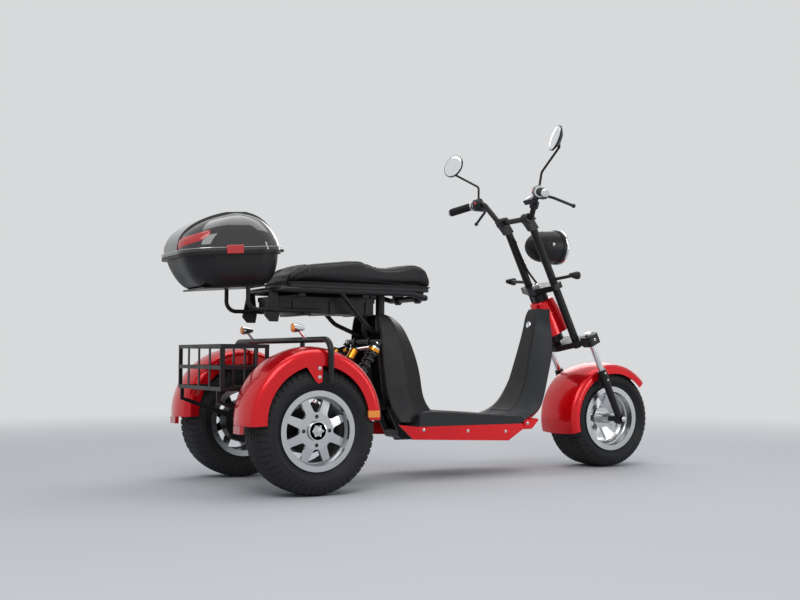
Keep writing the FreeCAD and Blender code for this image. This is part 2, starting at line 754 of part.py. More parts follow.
controls = [without(item, bar_room) for item in sides(lever) + [display()]]
shape_part("levers", Part.makeCompound(controls))


def looking_glass(side):
    """A bent arm and a round mirror, turned in and up to the rider."""
    end, run = grip_run(side)
    foot = end + run * (n["grip_length"] + 22) + V(4, 0, n["pod_radius"] - 6)
    knee = foot + V(6, 8 * side, 62)
    turn = math.tan(math.radians(n["mirror_turn"]))
    facing = V(-1, -turn * side, turn).normalize()
    head = V(bar_x - 74, n["mirror_half"] * side, bar_z + n["mirror_rise"])
    back = head - facing * 14
    arm = tube([foot, knee, back - V(0, 0, 34)], 5, 20)
    neck = rod(back - V(0, 0, 34), back, 6)
    shell = Part.makeCone(n["mirror_radius"] * 0.6, n["mirror_radius"], 14, back - facing * 2, facing)
    rim = Part.makeCylinder(n["mirror_radius"], 6, back + facing * 12, facing)
    return without(fused([arm, neck, shell, rim]), controls)


shape_part("mirrors", Part.makeCompound(sides(looking_glass)))


def headlamp():
    """A spun bowl with a rim ring, and a domed glass in front of it."""
    lamp = s["lamp_radius"]
    length = s["lamp_length"]
    rim = s["lamp_rim"]
    back = V(lamp_rim_x - n["lamp_length"], 0, lamp_z)
    body = new_body("headlight_bucket")
    steps = [((length * 0.16, lamp * 0.6), (length * 0.5, lamp * 0.91)), ((length - rim, lamp - 2),),
             ((length - rim, lamp + 1),), ((length - 6, lamp + 1),), ((length - 6, 0),), ((0, 0),)]
    revolve(body, "bucket_bowl", draw(body, "XZ_Plane", "bucket_section", (0, 0), steps))
    place(body, (Dim(back.x, repr(back.x)), 0, Dim(back.z, "(Sizes.riser_top - Sizes.lamp_drop)")))
    lens = new_body("headlight_lens")
    glass = length - 6 + s["contact_gap"]
    steps = [((length + 8, 0),), ((length + 4, lamp * 0.5), (glass, lamp - 4)), ((glass, 0),)]
    revolve(lens, "lens_glass", draw(lens, "XZ_Plane", "lens_section", (glass, 0), steps))
    place(lens, (Dim(back.x, repr(back.x)), 0, Dim(back.z, "(Sizes.riser_top - Sizes.lamp_drop)")))


headlamp()


def signal(spot, aim):
    """A small bullet-shaped turn lamp with a rim."""
    radius = n["signal_radius"]
    aim = aim.normalize()
    bullet = Part.makeCone(radius * 0.5, radius, radius * 2, spot - aim * radius * 1.8, aim)
    rim = Part.makeCylinder(radius, radius * 0.6, spot + aim * radius * 0.2, aim)
    return fused([bullet, rim])


def front_signal(side):
    root = on_fork(-n["riser_offset"], n["yoke_height"] + 28, n["riser_half"] * side)
    tip = V(root.x + 8, (n["riser_half"] + 140) * side, root.z + 10)
    start = root + V(0, (n["riser_radius"] + n["contact_gap"]) * side, 0)
    stalk = rod(start, tip + V(0, 6 * side, 0), 7)
    return fused([stalk, signal(tip + V(8, 0, 0), V(1, 0, 0))])


shape_part("front_signals", Part.makeCompound(sides(front_signal)))


# Frame

head_low = crown_centre + lean * (n["crown_block_depth"] / 2 + n["clamp_gap"])
head_top = yoke_centre - lean * (n["yoke_depth"] / 2 + n["clamp_gap"])
head = rod(head_low, head_top, n["head_radius"])
neck_foot = head_low + lean * 130
floor_z = n["backbone_z"]
floor_front = n["wheelbase"] - 602
front_bend = n["wheelbase"] - 517
floor_rear = n["upright_x"] + 105
seat_z = n["rail_height"]
upright_x = n["upright_x"]
backbone = tube([neck_foot, neck_foot + V(-85, 0, -220), V(front_bend, 0, floor_z), V(floor_rear, 0, floor_z)],
                n["backbone_radius"], 110)
rail_level = floor_z + n["backbone_radius"] - 14


def upright(side):
    y = n["upright_half"] * side
    return tube([(upright_x - 2, y, seat_z - 6), (upright_x - 2, y, seat_z - 140), (upright_x + 10, y, seat_z - 240),
                 (upright_x + 30, y, floor_z + 150), (floor_rear, y, floor_z)], n["upright_radius"], 120)


def floor_rail(side):
    reach = n["board_half"] - 40
    return tube([(floor_front + 10, 20 * side, rail_level), (floor_front - 40, reach * side, rail_level),
                 (floor_rear + 55, reach * side, rail_level), (floor_rear + 5, 20 * side, rail_level)], 14, 40)


shock_top = V(upright_x - 45, 0, seat_z - 190)
shock_foot = V(upright_x - 200, 0, n["rear_tyre_radius"] + 69)


def shock_ear(side):
    x, z = shock_top.x, shock_top.z
    return plate([(x - 16, z - 12), (x - 10, z + 16), (upright_x, z + 34), (upright_x + 4, z - 34)],
                 n["upright_half"] * side, 10)


shock_pin = cross_rod(shock_top.x, shock_top.z, n["shock_half"] + 16, 10)
floor_tie = cross_rod(floor_rear, floor_z, n["upright_half"], 22)
main = fused([head, backbone, shock_pin, floor_tie] + sides(upright) + sides(floor_rail) + sides(shock_ear))
stem_hole = rod(crown_centre - lean * 10, yoke_centre + lean * 10, n["stem_radius"] + n["spindle_gap"])
main = main.cut(stem_hole)
shape_part("main_frame", main)

hinge_x = n["seat_hinge_x"]
hinge_z = seat_z - n["seat_hinge_drop"]
battery_rear = n["rail_rear"] + 17
battery_front = battery_rear + n["battery_length"]
battery_top = seat_z - 22
battery_low = battery_top - n["battery_depth"]


def seat_frame():
    """Two rails bent from one tube, the cross tube of the seat hinge, straps and braces down to the uprights."""
    half = n["rail_half"]
    rails = sides(lambda side: tube([(n["rail_rear"], 0, seat_z), (n["rail_rear"], half * side, seat_z),
                                     (hinge_x - 60, half * side, seat_z), (hinge_x, half * side, hinge_z)],
                                    n["rail_radius"], 40))
    front = cross_rod(hinge_x, hinge_z, half, n["seat_hinge_radius"])
    strap_rows = (battery_rear + 78, battery_front - 80)
    straps = [box((x, -half + 2, battery_top + n["contact_gap"]), (x + 25, half - 2, battery_top + 6))
              for x in strap_rows]
    ties = [box((x, (half - 6) * side - 3, battery_top + 2), (x + 25, (half - 6) * side + 3, seat_z - 3))
            for x in strap_rows for side in (1, -1)]
    braces = sides(lambda side: tube([(upright_x - 222, half * side, seat_z),
                                      (upright_x - 110, (half - 12) * side, seat_z - 118),
                                      (upright_x, n["upright_half"] * side, seat_z - 178)], n["brace_radius"]))
    cross = cross_rod(upright_x, seat_z - 1, half, n["brace_radius"] - 1)
    return fused(rails + [front, cross] + braces + straps + ties)


frame_shape = seat_frame().cut(main)
shape_part("seat_frame", frame_shape)


def plan(level, rear, front, half, bend):
    """A level rounded rectangle."""
    spots = [(rear, -half, level), (front, -half, level), (front, half, level), (rear, half, level)]
    return rounded(spots, [bend] * 4)


battery_body = prism(plan(battery_low, battery_rear + 4, battery_front - 4, n["battery_half"] - 4, 16),
                     UP * (n["battery_depth"] - n["battery_lid"]))
battery_lid = prism(plan(battery_top - n["battery_lid"], battery_rear, battery_front, n["battery_half"], 18),
                    UP * n["battery_lid"])
shape_part("battery_box", without(fused([battery_body, battery_lid]), [frame_shape, main]))


def rear_axle():
    """The axle tube with its spindles, the swing arm, shock lugs, brake backing plates and basket posts."""
    y = n["half_track"]
    z = n["rear_tyre_radius"]
    hub = cross_rod(0, z, y - 40, 24)
    spindles = cross_rod(0, z, y + n["rear_spoke_face"], n["axle_radius"])
    pivot = V(upright_x + 30, 0, z + 73)
    arms = sides(lambda side: tube([(0, 130 * side, z + 8), (shock_foot.x - 60, 126 * side, z + 35),
                                    (pivot.x, 70 * side, pivot.z)], 20, 60))
    axle_pivot = cross_rod(pivot.x, pivot.z, 82, 18)
    lugs = sides(lambda side: rod((shock_foot.x, 100 * side, shock_foot.z - 6),
                                  (shock_foot.x, (n["shock_half"] + 14) * side, shock_foot.z), 11))
    posts = sides(lambda side: rod((0, 222 * side, z), (n["hoop_x"] - 2, 222 * side, n["hoop_height"] - 11.3), 9))
    plates = sides(lambda side: rod((0, (y - 86) * side, z), (0, (y - 18) * side, z), n["drum_radius"]))
    return fused([hub, spindles, axle_pivot] + arms + lugs + posts + plates)


motor = fused([cross_rod(0, n["rear_tyre_radius"], 60, 95), box((0, -55, 150), (150, 55, 300))])
axle_shape = without(rear_axle(), [main, motor])
shape_part("rear_axle", axle_shape)
shape_part("motor_block", motor)


shock_run = (shock_top - shock_foot).normalize()


def along_shock(share, side):
    spot = shock_foot + (shock_top - shock_foot) * share
    return V(spot.x, n["shock_half"] * side, spot.z)


def shock_body(side):
    """The damper: shaft, top cap, spring seats and the bridge to its reservoir."""
    shaft = rod(along_shock(0, side), along_shock(1, side), n["shock_radius"])
    low_seat = rod(along_shock(0.14, side), along_shock(0.18, side), n["spring_radius"])
    high_seat = rod(along_shock(0.84, side), along_shock(0.9, side), n["spring_radius"] - 2)
    bridge = rod(along_shock(0.93, side), reservoir_middle(side) + shock_run * (n["reservoir_length"] / 2), 8)
    return without(fused([shaft, low_seat, high_seat, bridge]), [main, axle_shape, reservoir(side)])


def reservoir_middle(side):
    return along_shock(0.8, side) + V(-59, -48 * side, 0)


def reservoir(side):
    half = shock_run * (n["reservoir_length"] / 2)
    middle = reservoir_middle(side)
    return rod(middle - half, middle + half, n["reservoir_radius"])


def shock_spring(side):
    sleeve = rod(along_shock(0.182, side), along_shock(0.838, side), n["spring_radius"])
    return sleeve.cut(rod(along_shock(0.1, side), along_shock(0.95, side), n["shock_radius"] + n["contact_gap"]))


shape_part("shock_bodies", Part.makeCompound(sides(shock_body)))
shape_part("shock_springs", Part.makeCompound(sides(shock_spring)))
shape_part("shock_reservoirs", Part.makeCompound(sides(reservoir)))


# Bodywork

board_rear_x = n["upright_x"] + 158
board_front_x = n["wheelbase"] - 562
board_slope = (n["board_front_top"] - n["board_rear_top"]) / (board_front_x - board_rear_x)
board_low = n["board_low"]


def board_top(x, lift=0.0):
    return n["board_rear_top"] + board_slope * (x - board_rear_x) + lift


def footboard():
    """A slab whose top slopes down to the front, with a raised mat in its middle."""
    half = n["board_half"]
    outline = [(board_rear_x - 53, board_low), (board_front_x - 10, board_low), (board_front_x + 22, board_low + 14),
               (board_front_x, n["board_front_top"]), (board_rear_x, n["board_rear_top"]),
               (board_rear_x - 50, n["board_rear_top"] - 11)]
    wire = rounded([(x, -half, z) for x, z in outline], [3, 12, 6, 6, 20, 10])
    slab = prism(wire, ALONG_Y * (2 * half))
    start, end = board_rear_x + 82, board_front_x - 60
    mat = plate([(start, board_top(start, -1)), (end, board_top(end, -1)),
                 (end, board_top(end, n["mat_height"])), (start, board_top(start, n["mat_height"]))],
                0, 2 * n["mat_half"])
    return fused([slab, mat])


board = footboard().cut(main)
shape_part("footboard", board)


def skirt(side):
    """A side panel under the footboard's edge with its bottom edge turned in."""
    half = n["board_half"]
    wall = n["skirt_wall"]
    top = board_low - n["contact_gap"]
    front = board_front_x
    sheet_face = plate([(board_rear_x - 145, top + 10), (board_rear_x - 78, 164), (front - 67, 146),
                        (front + 15, 196), (front + 4, top), (board_rear_x - 56, top)],
                       (half - wall / 2) * side, wall)
    lip = plate([(board_rear_x - 78, 164), (front - 67, 146), (front - 67, 149), (board_rear_x - 78, 167)],
                (half - 10) * side, 20)
    return fused([sheet_face, lip])


shape_part("skirt_panels", Part.makeCompound(sides(skirt)))

SHIELD = [
    # level, half of the flat panel, panel behind the front axle, half width, edge behind the front axle
    (700, 29, 365, 58, 316),
    (630, 40, 384, 78, 330),
    (526, 48, 410, 115, 349),
    (427, 58, 438, 130, 380),
    (335, 66, 474, 150, 419),
    (285, 72, 512, 165, 450),
    (250, 76, 562, 182, 502),
    (226, 80, 610, 188, 552),
]


def shield_section(level, panel, panel_back, edge, edge_back):
    """One level of the leg shield: a flat panel with two wings swept forward, all of one depth."""
    rear = n["wheelbase"] - panel_back
    wing = n["wheelbase"] - edge_back
    depth = n["shield_wall"]
    spots = [(rear, -panel, level), (rear, panel, level), (wing, edge, level), (wing + depth - 3, edge - 4, level),
             (rear + depth, panel + 3, level), (rear + depth, -panel - 3, level),
             (wing + depth - 3, -edge + 4, level), (wing, -edge, level)]
    return rounded(spots, [8, 8, 3, 3, 8, 8, 3, 3])


def panel_section(level, panel, panel_back, edge, edge_back):
    """One level of the black panel on the shield's rear face."""
    rear = n["wheelbase"] - panel_back
    half = panel - 3
    spots = [(rear - 2, -half, level), (rear - 2, half, level), (rear + 5, half, level), (rear + 5, -half, level)]
    return Part.makePolygon([point(spot) for spot in spots + spots[:1]])


shield = without(skin([shield_section(*row) for row in SHIELD]), [main, board])
shape_part("leg_shield", shield)
panel_room = box((0, -200, 262), (n["wheelbase"], 200, 690))
panel = skin([panel_section(*row) for row in SHIELD]).common(panel_room)
shape_part("shield_panel", without(panel, [shield, main, board]))

COWL_FRONT = [306, 306, 306, 340, 359, 374, 397, 422]


def cowl_section(level, panel, rear, half, wing, front):
    """One level of the body in front of the leg shield, narrowing to a blunt nose."""
    shoulder = wing + 0.35 * (front - wing)
    spots = [(rear, -panel, level), (wing, -half, level), (shoulder, -0.86 * half - 3, level),
             (front, -0.4 * half, level), (front, 0.4 * half, level), (shoulder, 0.86 * half + 3, level),
             (wing, half, level), (rear, panel, level)]
    return rounded(spots, [3, 2, 8, 20, 20, 8, 2, 3])


base_x = n["wheelbase"]
nose = skin([cowl_section(level, panel - 6, base_x - panel_back + 5, edge - 3, base_x - edge_back - 2, base_x - front)
             for (level, panel, panel_back, edge, edge_back), front in zip(SHIELD, COWL_FRONT)])
skirts_room = box((0, -400, 0), (board_front_x + 16, 400, board_low))
cowl = without(nose, [shield, main, head, board, skirts_room])
shape_part("front_cowl", max(cowl.Solids, key=lambda solid: solid.Volume))

TOWER = [
    # share of the height, rear, front, half width at the rear, half width at the front
    (0, 38, 250, 165, 120),
    (0.06, 22, 228, 160, 110),
    (0.18, -4, 190, 152, 100),
    (0.39, -24, 170, 148, 95),
    (0.59, -31, 152, 142, 88),
    (0.8, -33, 118, 132, 78),
    (0.93, -33, 80, 120, 70),
    (1, -32, 30, 104, 60),
]


def tower_section(share, rear, front, rear_half, front_half, low, high):
    """One level of the cover under the seat, open to the rear."""
    level = low + share * (high - low)
    rear = n["upright_x"] + rear
    front = n["upright_x"] + front
    knee = rear + (front - rear) * 0.5
    spots = [(rear, -rear_half, level), (knee, -0.97 * rear_half, level), (front, -front_half, level),
             (front, front_half, level), (knee, 0.97 * rear_half, level), (rear, rear_half, level)]
    return rounded(spots, [3, 25, 16, 16, 25, 3])


def tower_cover():
    low = board_low + 18
    high = seat_z - n["tower_drop"]
    wall = n["tower_wall"]
    outside = skin([tower_section(*row, low, high) for row in TOWER])
    inside = skin([tower_section(share, rear - 40, front - wall, rear_half - wall, front_half - wall,
                                 low - 10, high - wall) for share, rear, front, rear_half, front_half in TOWER])
    return outside.cut(inside)


tower = without(tower_cover(), [main, axle_shape, frame_shape, board])
shape_part("tower_cover", tower)


# Seat

seat_low = seat_z + n["rail_radius"] + n["contact_gap"]
pad_low = seat_low + n["seat_base_depth"] + n["contact_gap"]
seat_half = n["seat_half"]
EAR = [(-26, 27), (-20, -8), (-8, -20), (8, -20), (20, -8), (26, 27)]
base_plan = [(12, -seat_half + 30), (60, -seat_half + 4), (hinge_x - 40, -seat_half + 4), (hinge_x + 36, -seat_half + 30),
             (hinge_x + 36, seat_half - 30), (hinge_x - 40, seat_half - 4), (60, seat_half - 4), (12, seat_half - 30)]
seat_tray = prism(rounded([(x, y, seat_low) for x, y in base_plan], [30] * 8), UP * n["seat_base_depth"])
ears = [plate([(hinge_x + x, hinge_z + z) for x, z in EAR], 80 * side, 14) for side in (1, -1)]
hinge_hole = cross_rod(hinge_x, hinge_z, 120, n["seat_hinge_radius"] + n["contact_gap"])
shape_part("seat_base", fused([seat_tray] + ears).cut(hinge_hole))

PAD = [
    # ahead of the rear axle, top above the pad's underside, half width
    (8, 44, 128),
    (70, 66, 148),
    (215, 85, 150),
    (322, 94, 150),
    (400, 74, 150),
    (470, 74, 149),
    (550, 89, 148),
    (610, 84, 146),
    (640, 33, 128),
]


def pad_section(x, top, half):
    """One upright section across the cushion: flat below, bulged sides and a crowned top."""
    low = V(x, 0, pad_low)
    foot = V(0, half * 0.94, 0)
    brow = V(0, half * 0.9, top - 14)
    bulge = V(0, half, top * 0.5)
    right_foot, right_brow, right_bulge = [V(p.x, -p.y, p.z) for p in (foot, brow, bulge)]
    edges = [Part.LineSegment(low + right_foot, low + foot), Part.Arc(low + foot, low + bulge, low + brow),
             Part.Arc(low + brow, low + V(0, 0, top), low + right_brow),
             Part.Arc(low + right_brow, low + right_bulge, low + right_foot)]
    return Part.Wire([edge.toShape() for edge in edges])


shape_part("seat_pad", skin([pad_section(*row) for row in PAD]))


# Top box

hinge_spot = V(n["box_hinge_x"], 0, seat_z + n["box_hinge_rise"])


def tilted(shape):
    """Moves a shape from the box's own frame, whose origin is the lid's hinge, into the working frame."""
    turn = FreeCAD.Rotation(ALONG_Y, -n["box_tilt"])
    return shape.transformed(FreeCAD.Placement(hinge_spot, turn).toMatrix(), True)


BOX_BASE = [
    # level, rear, front, half width, corner
    (-0.3, -388, -18, 184, 105),
    (-40, -378, -22, 180, 103),
    (-85, -356, -34, 168, 98),
    (-110, -336, -50, 152, 88),
    (-124, -310, -76, 130, 70),
]
BOX_LID = [
    # level, rear, front, half width, corner
    (0.3, -398, -15, 190, 108),
    (45, -390, -18, 186, 110),
    (80, -366, -32, 174, 112),
    (112, -318, -56, 150, 100),
    (134, -262, -86, 118, 80),
    (146, -212, -118, 84, 45),
]
RIM_REAR, RIM_FRONT, RIM_HALF, RIM_CORNER = -404, -10, 196, 110
BASE_KNUCKLES = (60, 80)
LID_KNUCKLES = (80.3, 104)


def grown(rows, out, stretch, lift):
    """The same levels, each wider by a margin, with the heights stretched and lifted."""
    return [plan(level * stretch + lift, rear - out, front + out, half + out, bend + out)
            for level, rear, front, half, bend in rows]


def knuckles(span, drop):
    """Hinge knuckles on the box's front edge, each with a web back to the rim."""
    found = []
    for side in (1, -1):
        low, high = sorted((span[0] * side, span[1] * side))
        found.append(rod((0, low, 0), (0, high, 0), n["box_hinge_radius"]))
        found.append(box((-24, low, min(drop, 0)), (0, high, max(drop, 0))))
    return found


def rim(low, high):
    return prism(plan(low, RIM_REAR, RIM_FRONT, RIM_HALF, RIM_CORNER), UP * (high - low))


box_wall = n["box_wall"]
base_room = skin(grown(BOX_BASE, -box_wall, 0.97, 1))
lid_room = skin(grown(BOX_LID, -box_wall, 0.975, -0.5))
pins = [rod((0, BASE_KNUCKLES[0] * side, 0), (0, LID_KNUCKLES[1] * side, 0), 2) for side in (1, -1)]
low_part = [skin(grown(BOX_BASE, 0, 1, 0)), rim(-12, -0.3)] + knuckles(BASE_KNUCKLES, -n["box_hinge_radius"])
spine = skin(grown(BOX_LID, 5, 1.04, 0)).common(box((-600, -n["spine_half"], 12), (-12, n["spine_half"], 400)))
high_part = [skin(grown(BOX_LID, 0, 1, 0)), rim(0.3, 10), spine] + knuckles(LID_KNUCKLES, n["box_hinge_radius"])
box_base = fused([fused(low_part).cut(base_room)] + pins)
box_lid = without(fused(high_part), [lid_room, cross_rod(0, 0, 150, 2.3)])
shape_part("top_box_base", tilted(box_base))
shape_part("top_box_lid", tilted(box_lid))


def carrier():
    """A plate under the box on two bent tubes, hung from the rail's rear and tied under the battery box."""
    y = n["battery_half"] + 14
    deck = tilted(box((-324, -y - 4, -130.3), (-64, y + 4, -124.3)))
    rear = n["rail_rear"] - 101
    low = battery_low + 10
    tubes = sides(lambda side: tube([(rear, y * side, seat_z + 10), (rear, y * side, low), (150, y * side, low)], 8, 40))
    hang = n["rail_rear"]
    hangers = [plate([(hang - 35, low - 22), (hang - 15, low - 44), (hang + 19, low - 44), (hang + 25, low - 12),
                      (hang + 15, seat_z), (hang - 15, seat_z)], y * side, 6) for side in (1, -1)]
    strap_top = battery_low - n["contact_gap"]
    strap = box((80, -y - 4, strap_top - 7.7), (110, y + 4, strap_top))
    tabs = sides(lambda side: box((80, y * side - 4, strap_top - 7), (110, y * side + 4, low)))
    return fused(tubes + [deck, strap] + hangers + tabs)


shape_part("box_carrier", carrier().cut(frame_shape))


# Basket, hoop and lamps


def basket():
    """An open basket of flat straps: three rings, a floor and upright straps on its ends."""
    half = n["basket_half"]
    rear = n["basket_rear"]
    front = n["basket_front"]
    strap = n["strap"]
    thin = n["strap_wall"]
    floor = n["basket_floor"]
    low = floor + strap / 2
    top = floor + n["basket_depth"]
    bars = []
    for level in (low, (low + top) / 2, top):
        for side in (-1, 1):
            bars.append(box((rear, side * half - thin / 2, level - strap / 2),
                            (front, side * half + thin / 2, level + strap / 2)))
        for x in (rear, front):
            bars.append(box((x - thin / 2, -half - thin / 2, level - strap / 2),
                            (x + thin / 2, half + thin / 2, level + strap / 2)))
    for y in (-half, -half / 2, 0, half / 2, half):
        left, right = max(y - strap / 2, -half), min(y + strap / 2, half)
        for x in (rear, front):
            bars.append(box((x - thin / 2, left, low), (x + thin / 2, right, top)))
        bars.append(box((rear, left, floor), (front, right, floor + thin)))
    for x in (rear, front - strap):
        for side in (-1, 1):
            bars.append(box((x, side * half - thin / 2, floor), (x + strap, side * half + thin / 2, top)))
    return fused(bars)


basket_shape = basket()
shape_part("basket", basket_shape)


def stay(side):
    """A flat arm from the axle tube up to the basket's floor."""
    rear = n["basket_rear"] - 4
    top = n["basket_floor"] - n["contact_gap"]
    return plate([(rear, top), (rear + 14, top), (rear + 14, top - 34), (-8, n["rear_tyre_radius"] + 13),
                  (-8, n["rear_tyre_radius"] - 15), (rear, top - 42)], 200 * side, 6)


shape_part("basket_stays", Part.makeCompound([without(item, [axle_shape, basket_shape]) for item in sides(stay)]))

hoop_y = n["half_track"] + n["fender_half"] + n["hoop_radius"] + n["contact_gap"]
hoop_x = n["hoop_x"]
hoop_z = n["hoop_height"]
hoop = tube([(hoop_x, -hoop_y, hoop_z - 152), (hoop_x, -hoop_y, hoop_z), (hoop_x, hoop_y, hoop_z),
             (hoop_x, hoop_y, hoop_z - 152)], n["hoop_radius"], 50)
shape_part("fender_hoop", hoop)


def rear_signal(side):
    y = 250 * side
    stem = rod((hoop_x - 2, y, hoop_z + 4), (hoop_x - 34, y, hoop_z + 40), 6)
    return fused([stem, signal(V(hoop_x - 40, y, hoop_z + 44), V(-1, 0, 0))]).cut(hoop)


shape_part("rear_signals", Part.makeCompound(sides(rear_signal)))

fender_mid_x = n["fender_shift"]
fender_mid_z = n["rear_tyre_radius"] + n["fender_rise"]
fender_end_z = fender_mid_z + n["fender_radius"] * math.sin(math.radians(REAR_FENDER_ANGLES[1]))


def rear_reflector(side):
    y = n["half_track"] * side
    rear = fender_mid_x - n["fender_radius"] - 7
    top = fender_end_z - n["contact_gap"]
    return box((rear, y - 30, top - 27), (rear + 15, y + 30, top))


def side_reflector(side):
    y = n["half_track"] + n["fender_half"] + n["contact_gap"]
    low, high = sorted((y * side, (y + 6) * side))
    return box((fender_mid_x + 188, low, fender_mid_z + 10), (fender_mid_x + 234, high, fender_mid_z + 34))


shape_part("rear_reflectors", Part.makeCompound(sides(rear_reflector)))
shape_part("side_reflectors", Part.makeCompound(sides(side_reflector)))


# Checks and export

doc.recompute()
for item in doc.Objects:
    if "Invalid" in item.State or "Error" in item.State:
        raise RuntimeError(item.Label + " failed: " + str(item.State))
for item in made:
    if item.Shape.isNull() or not item.Shape.isValid():
        raise RuntimeError(item.Label + " has a bad shape")
    if not item.Shape.Solids:
        raise RuntimeError(item.Label + " has no solid")
os.makedirs("parts", exist_ok=True)
for item in made:
    item.Shape.exportStep("parts/" + item.Label + ".step")
print(len(made), "sub-parts written")
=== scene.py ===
import bpy
import json
import math
import bmesh
from mathutils import Matrix, Vector


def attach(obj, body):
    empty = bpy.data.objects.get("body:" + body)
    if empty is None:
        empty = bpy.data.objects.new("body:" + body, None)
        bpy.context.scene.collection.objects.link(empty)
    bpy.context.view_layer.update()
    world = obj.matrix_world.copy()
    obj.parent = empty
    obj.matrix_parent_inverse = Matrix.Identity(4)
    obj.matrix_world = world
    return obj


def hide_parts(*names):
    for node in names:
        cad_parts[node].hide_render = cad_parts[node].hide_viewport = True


# Electric tricycle: the looks built round the CAD frame. Metres, X forward, Y left, Z up.

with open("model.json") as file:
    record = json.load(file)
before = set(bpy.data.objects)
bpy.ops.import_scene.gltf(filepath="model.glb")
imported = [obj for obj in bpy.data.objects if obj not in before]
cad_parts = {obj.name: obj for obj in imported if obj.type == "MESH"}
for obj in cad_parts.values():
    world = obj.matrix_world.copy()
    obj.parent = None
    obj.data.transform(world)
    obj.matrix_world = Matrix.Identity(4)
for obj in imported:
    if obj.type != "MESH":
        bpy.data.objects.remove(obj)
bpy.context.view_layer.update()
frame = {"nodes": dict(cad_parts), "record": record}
nodes = frame["nodes"]
scene = bpy.context.scene

# Sizes that the part's source also has, in its own working frame: millimetres, origin under the rear axle

SHIFT = 714
WHEELBASE = 1602
HALF_TRACK = 348
REAR_AXLE_Z = 227
FRONT_AXLE_Z = 217
RAKE = math.radians(25.5)
LEG_HALF = 152
RISER_HALF = 92
UPRIGHT_X = 440
SEAT_Z = 738
BOX_TILT = math.radians(4.5)
BOX_HINGE = (-6, 886.3)
LEAN = Vector((-math.sin(RAKE), 0, math.cos(RAKE)))
AHEAD = Vector((math.cos(RAKE), 0, math.sin(RAKE)))
SIDES = (("left", 1), ("right", -1))


def at(x, y, z):
    """A spot of the working frame in the row frame's metres."""
    return Vector((x - SHIFT, y, z)) / 1000


def beside(spot, side):
    """A spot given for the left side in the working frame, in the row frame's metres on either side."""
    x, y, z = spot
    return at(x, y * side, z)


def facing_beside(way, side):
    """A direction that is given for the left side, on either side."""
    x, y, z = way
    return Vector((x, y * side, z)).normalized()


def moved(spot, way, distance):
    """A spot of the row frame moved along a direction by some millimetres."""
    return spot + way * (distance / 1000)


def square_to(way, run):
    """A direction turned square to another one."""
    return (way - run * way.dot(run)).normalized()


def on_fork(offset, height, side=0.0):
    """A spot beside the fork legs, as in the part's source, in the working frame's millimetres."""
    foot = Vector((WHEELBASE, 0, FRONT_AXLE_Z)) + AHEAD * offset
    spot = foot + LEAN * ((height - foot.z) / LEAN.z)
    return Vector((spot.x, side, spot.z))


def in_box(x, y, z):
    """A spot of the top box's own tilted frame, in the row frame's metres."""
    turned_x = x * math.cos(BOX_TILT) - z * math.sin(BOX_TILT)
    turned_z = x * math.sin(BOX_TILT) + z * math.cos(BOX_TILT)
    return at(BOX_HINGE[0] + turned_x, y, BOX_HINGE[1] + turned_z)


# Camera and lights

YAW = math.radians(29.66)
PITCH = math.radians(3.026)
ROLL = math.radians(0.226)
EYE = Vector((-2.3513, -3.8657, 0.4861))
LENS = 48.78
SENSOR = 36
VIEW_END = 100
LIGHTS = [
    # name, place, what it points at, size, watts
    ("key_light", (-2.2, -3.0, 3.6), (0, 0, 0.4), (2.6, 2.6), 72),
    ("top_light", (0.4, 0.6, 4.2), (0, 0, 0.3), (4.5, 3.0), 62),
    ("rim_light", (3.0, 3.2, 2.4), (0, 0, 0.5), (2.5, 1.8), 26),
    ("strip_light", (2.6, -3.4, 1.5), (0.2, 0, 0.4), (0.5, 2.4), 20),
]
FILL_COLOR = (0.80, 0.88, 1.0)
FILL_STRENGTH = 0.42
BACKGROUND = (0.80, 0.81, 0.82)
BACKGROUND_STRENGTH = 0.86


def add_camera():
    """The photograph's camera, as fitted to the wheels, the axles and the ground."""
    data = bpy.data.cameras.new("camera")
    data.lens = LENS
    data.sensor_width = SENSOR
    data.clip_end = VIEW_END
    camera = bpy.data.objects.new("camera", data)
    scene.collection.objects.link(camera)
    ahead = Vector((math.sin(YAW) * math.cos(PITCH), math.cos(YAW) * math.cos(PITCH), math.sin(PITCH)))
    right = Vector((math.cos(YAW), -math.sin(YAW), 0))
    up = right.cross(ahead)
    tilted_right = right * math.cos(ROLL) + up * math.sin(ROLL)
    tilted_up = up * math.cos(ROLL) - right * math.sin(ROLL)
    turn = Matrix((tilted_right, tilted_up, -ahead)).transposed().to_4x4()
    camera.matrix_world = Matrix.Translation(EYE) @ turn
    scene.camera = camera


def add_light(name, spot, aim, size, watts):
    """A rectangular area light that points at a spot."""
    data = bpy.data.lights.new(name, "AREA")
    data.shape = "RECTANGLE"
    data.size, data.size_y = size
    data.energy = watts
    lamp = bpy.data.objects.new(name, data)
    scene.collection.objects.link(lamp)
    lamp.location = spot
    lamp.rotation_euler = (Vector(aim) - Vector(spot)).to_track_quat("-Z", "Y").to_euler()


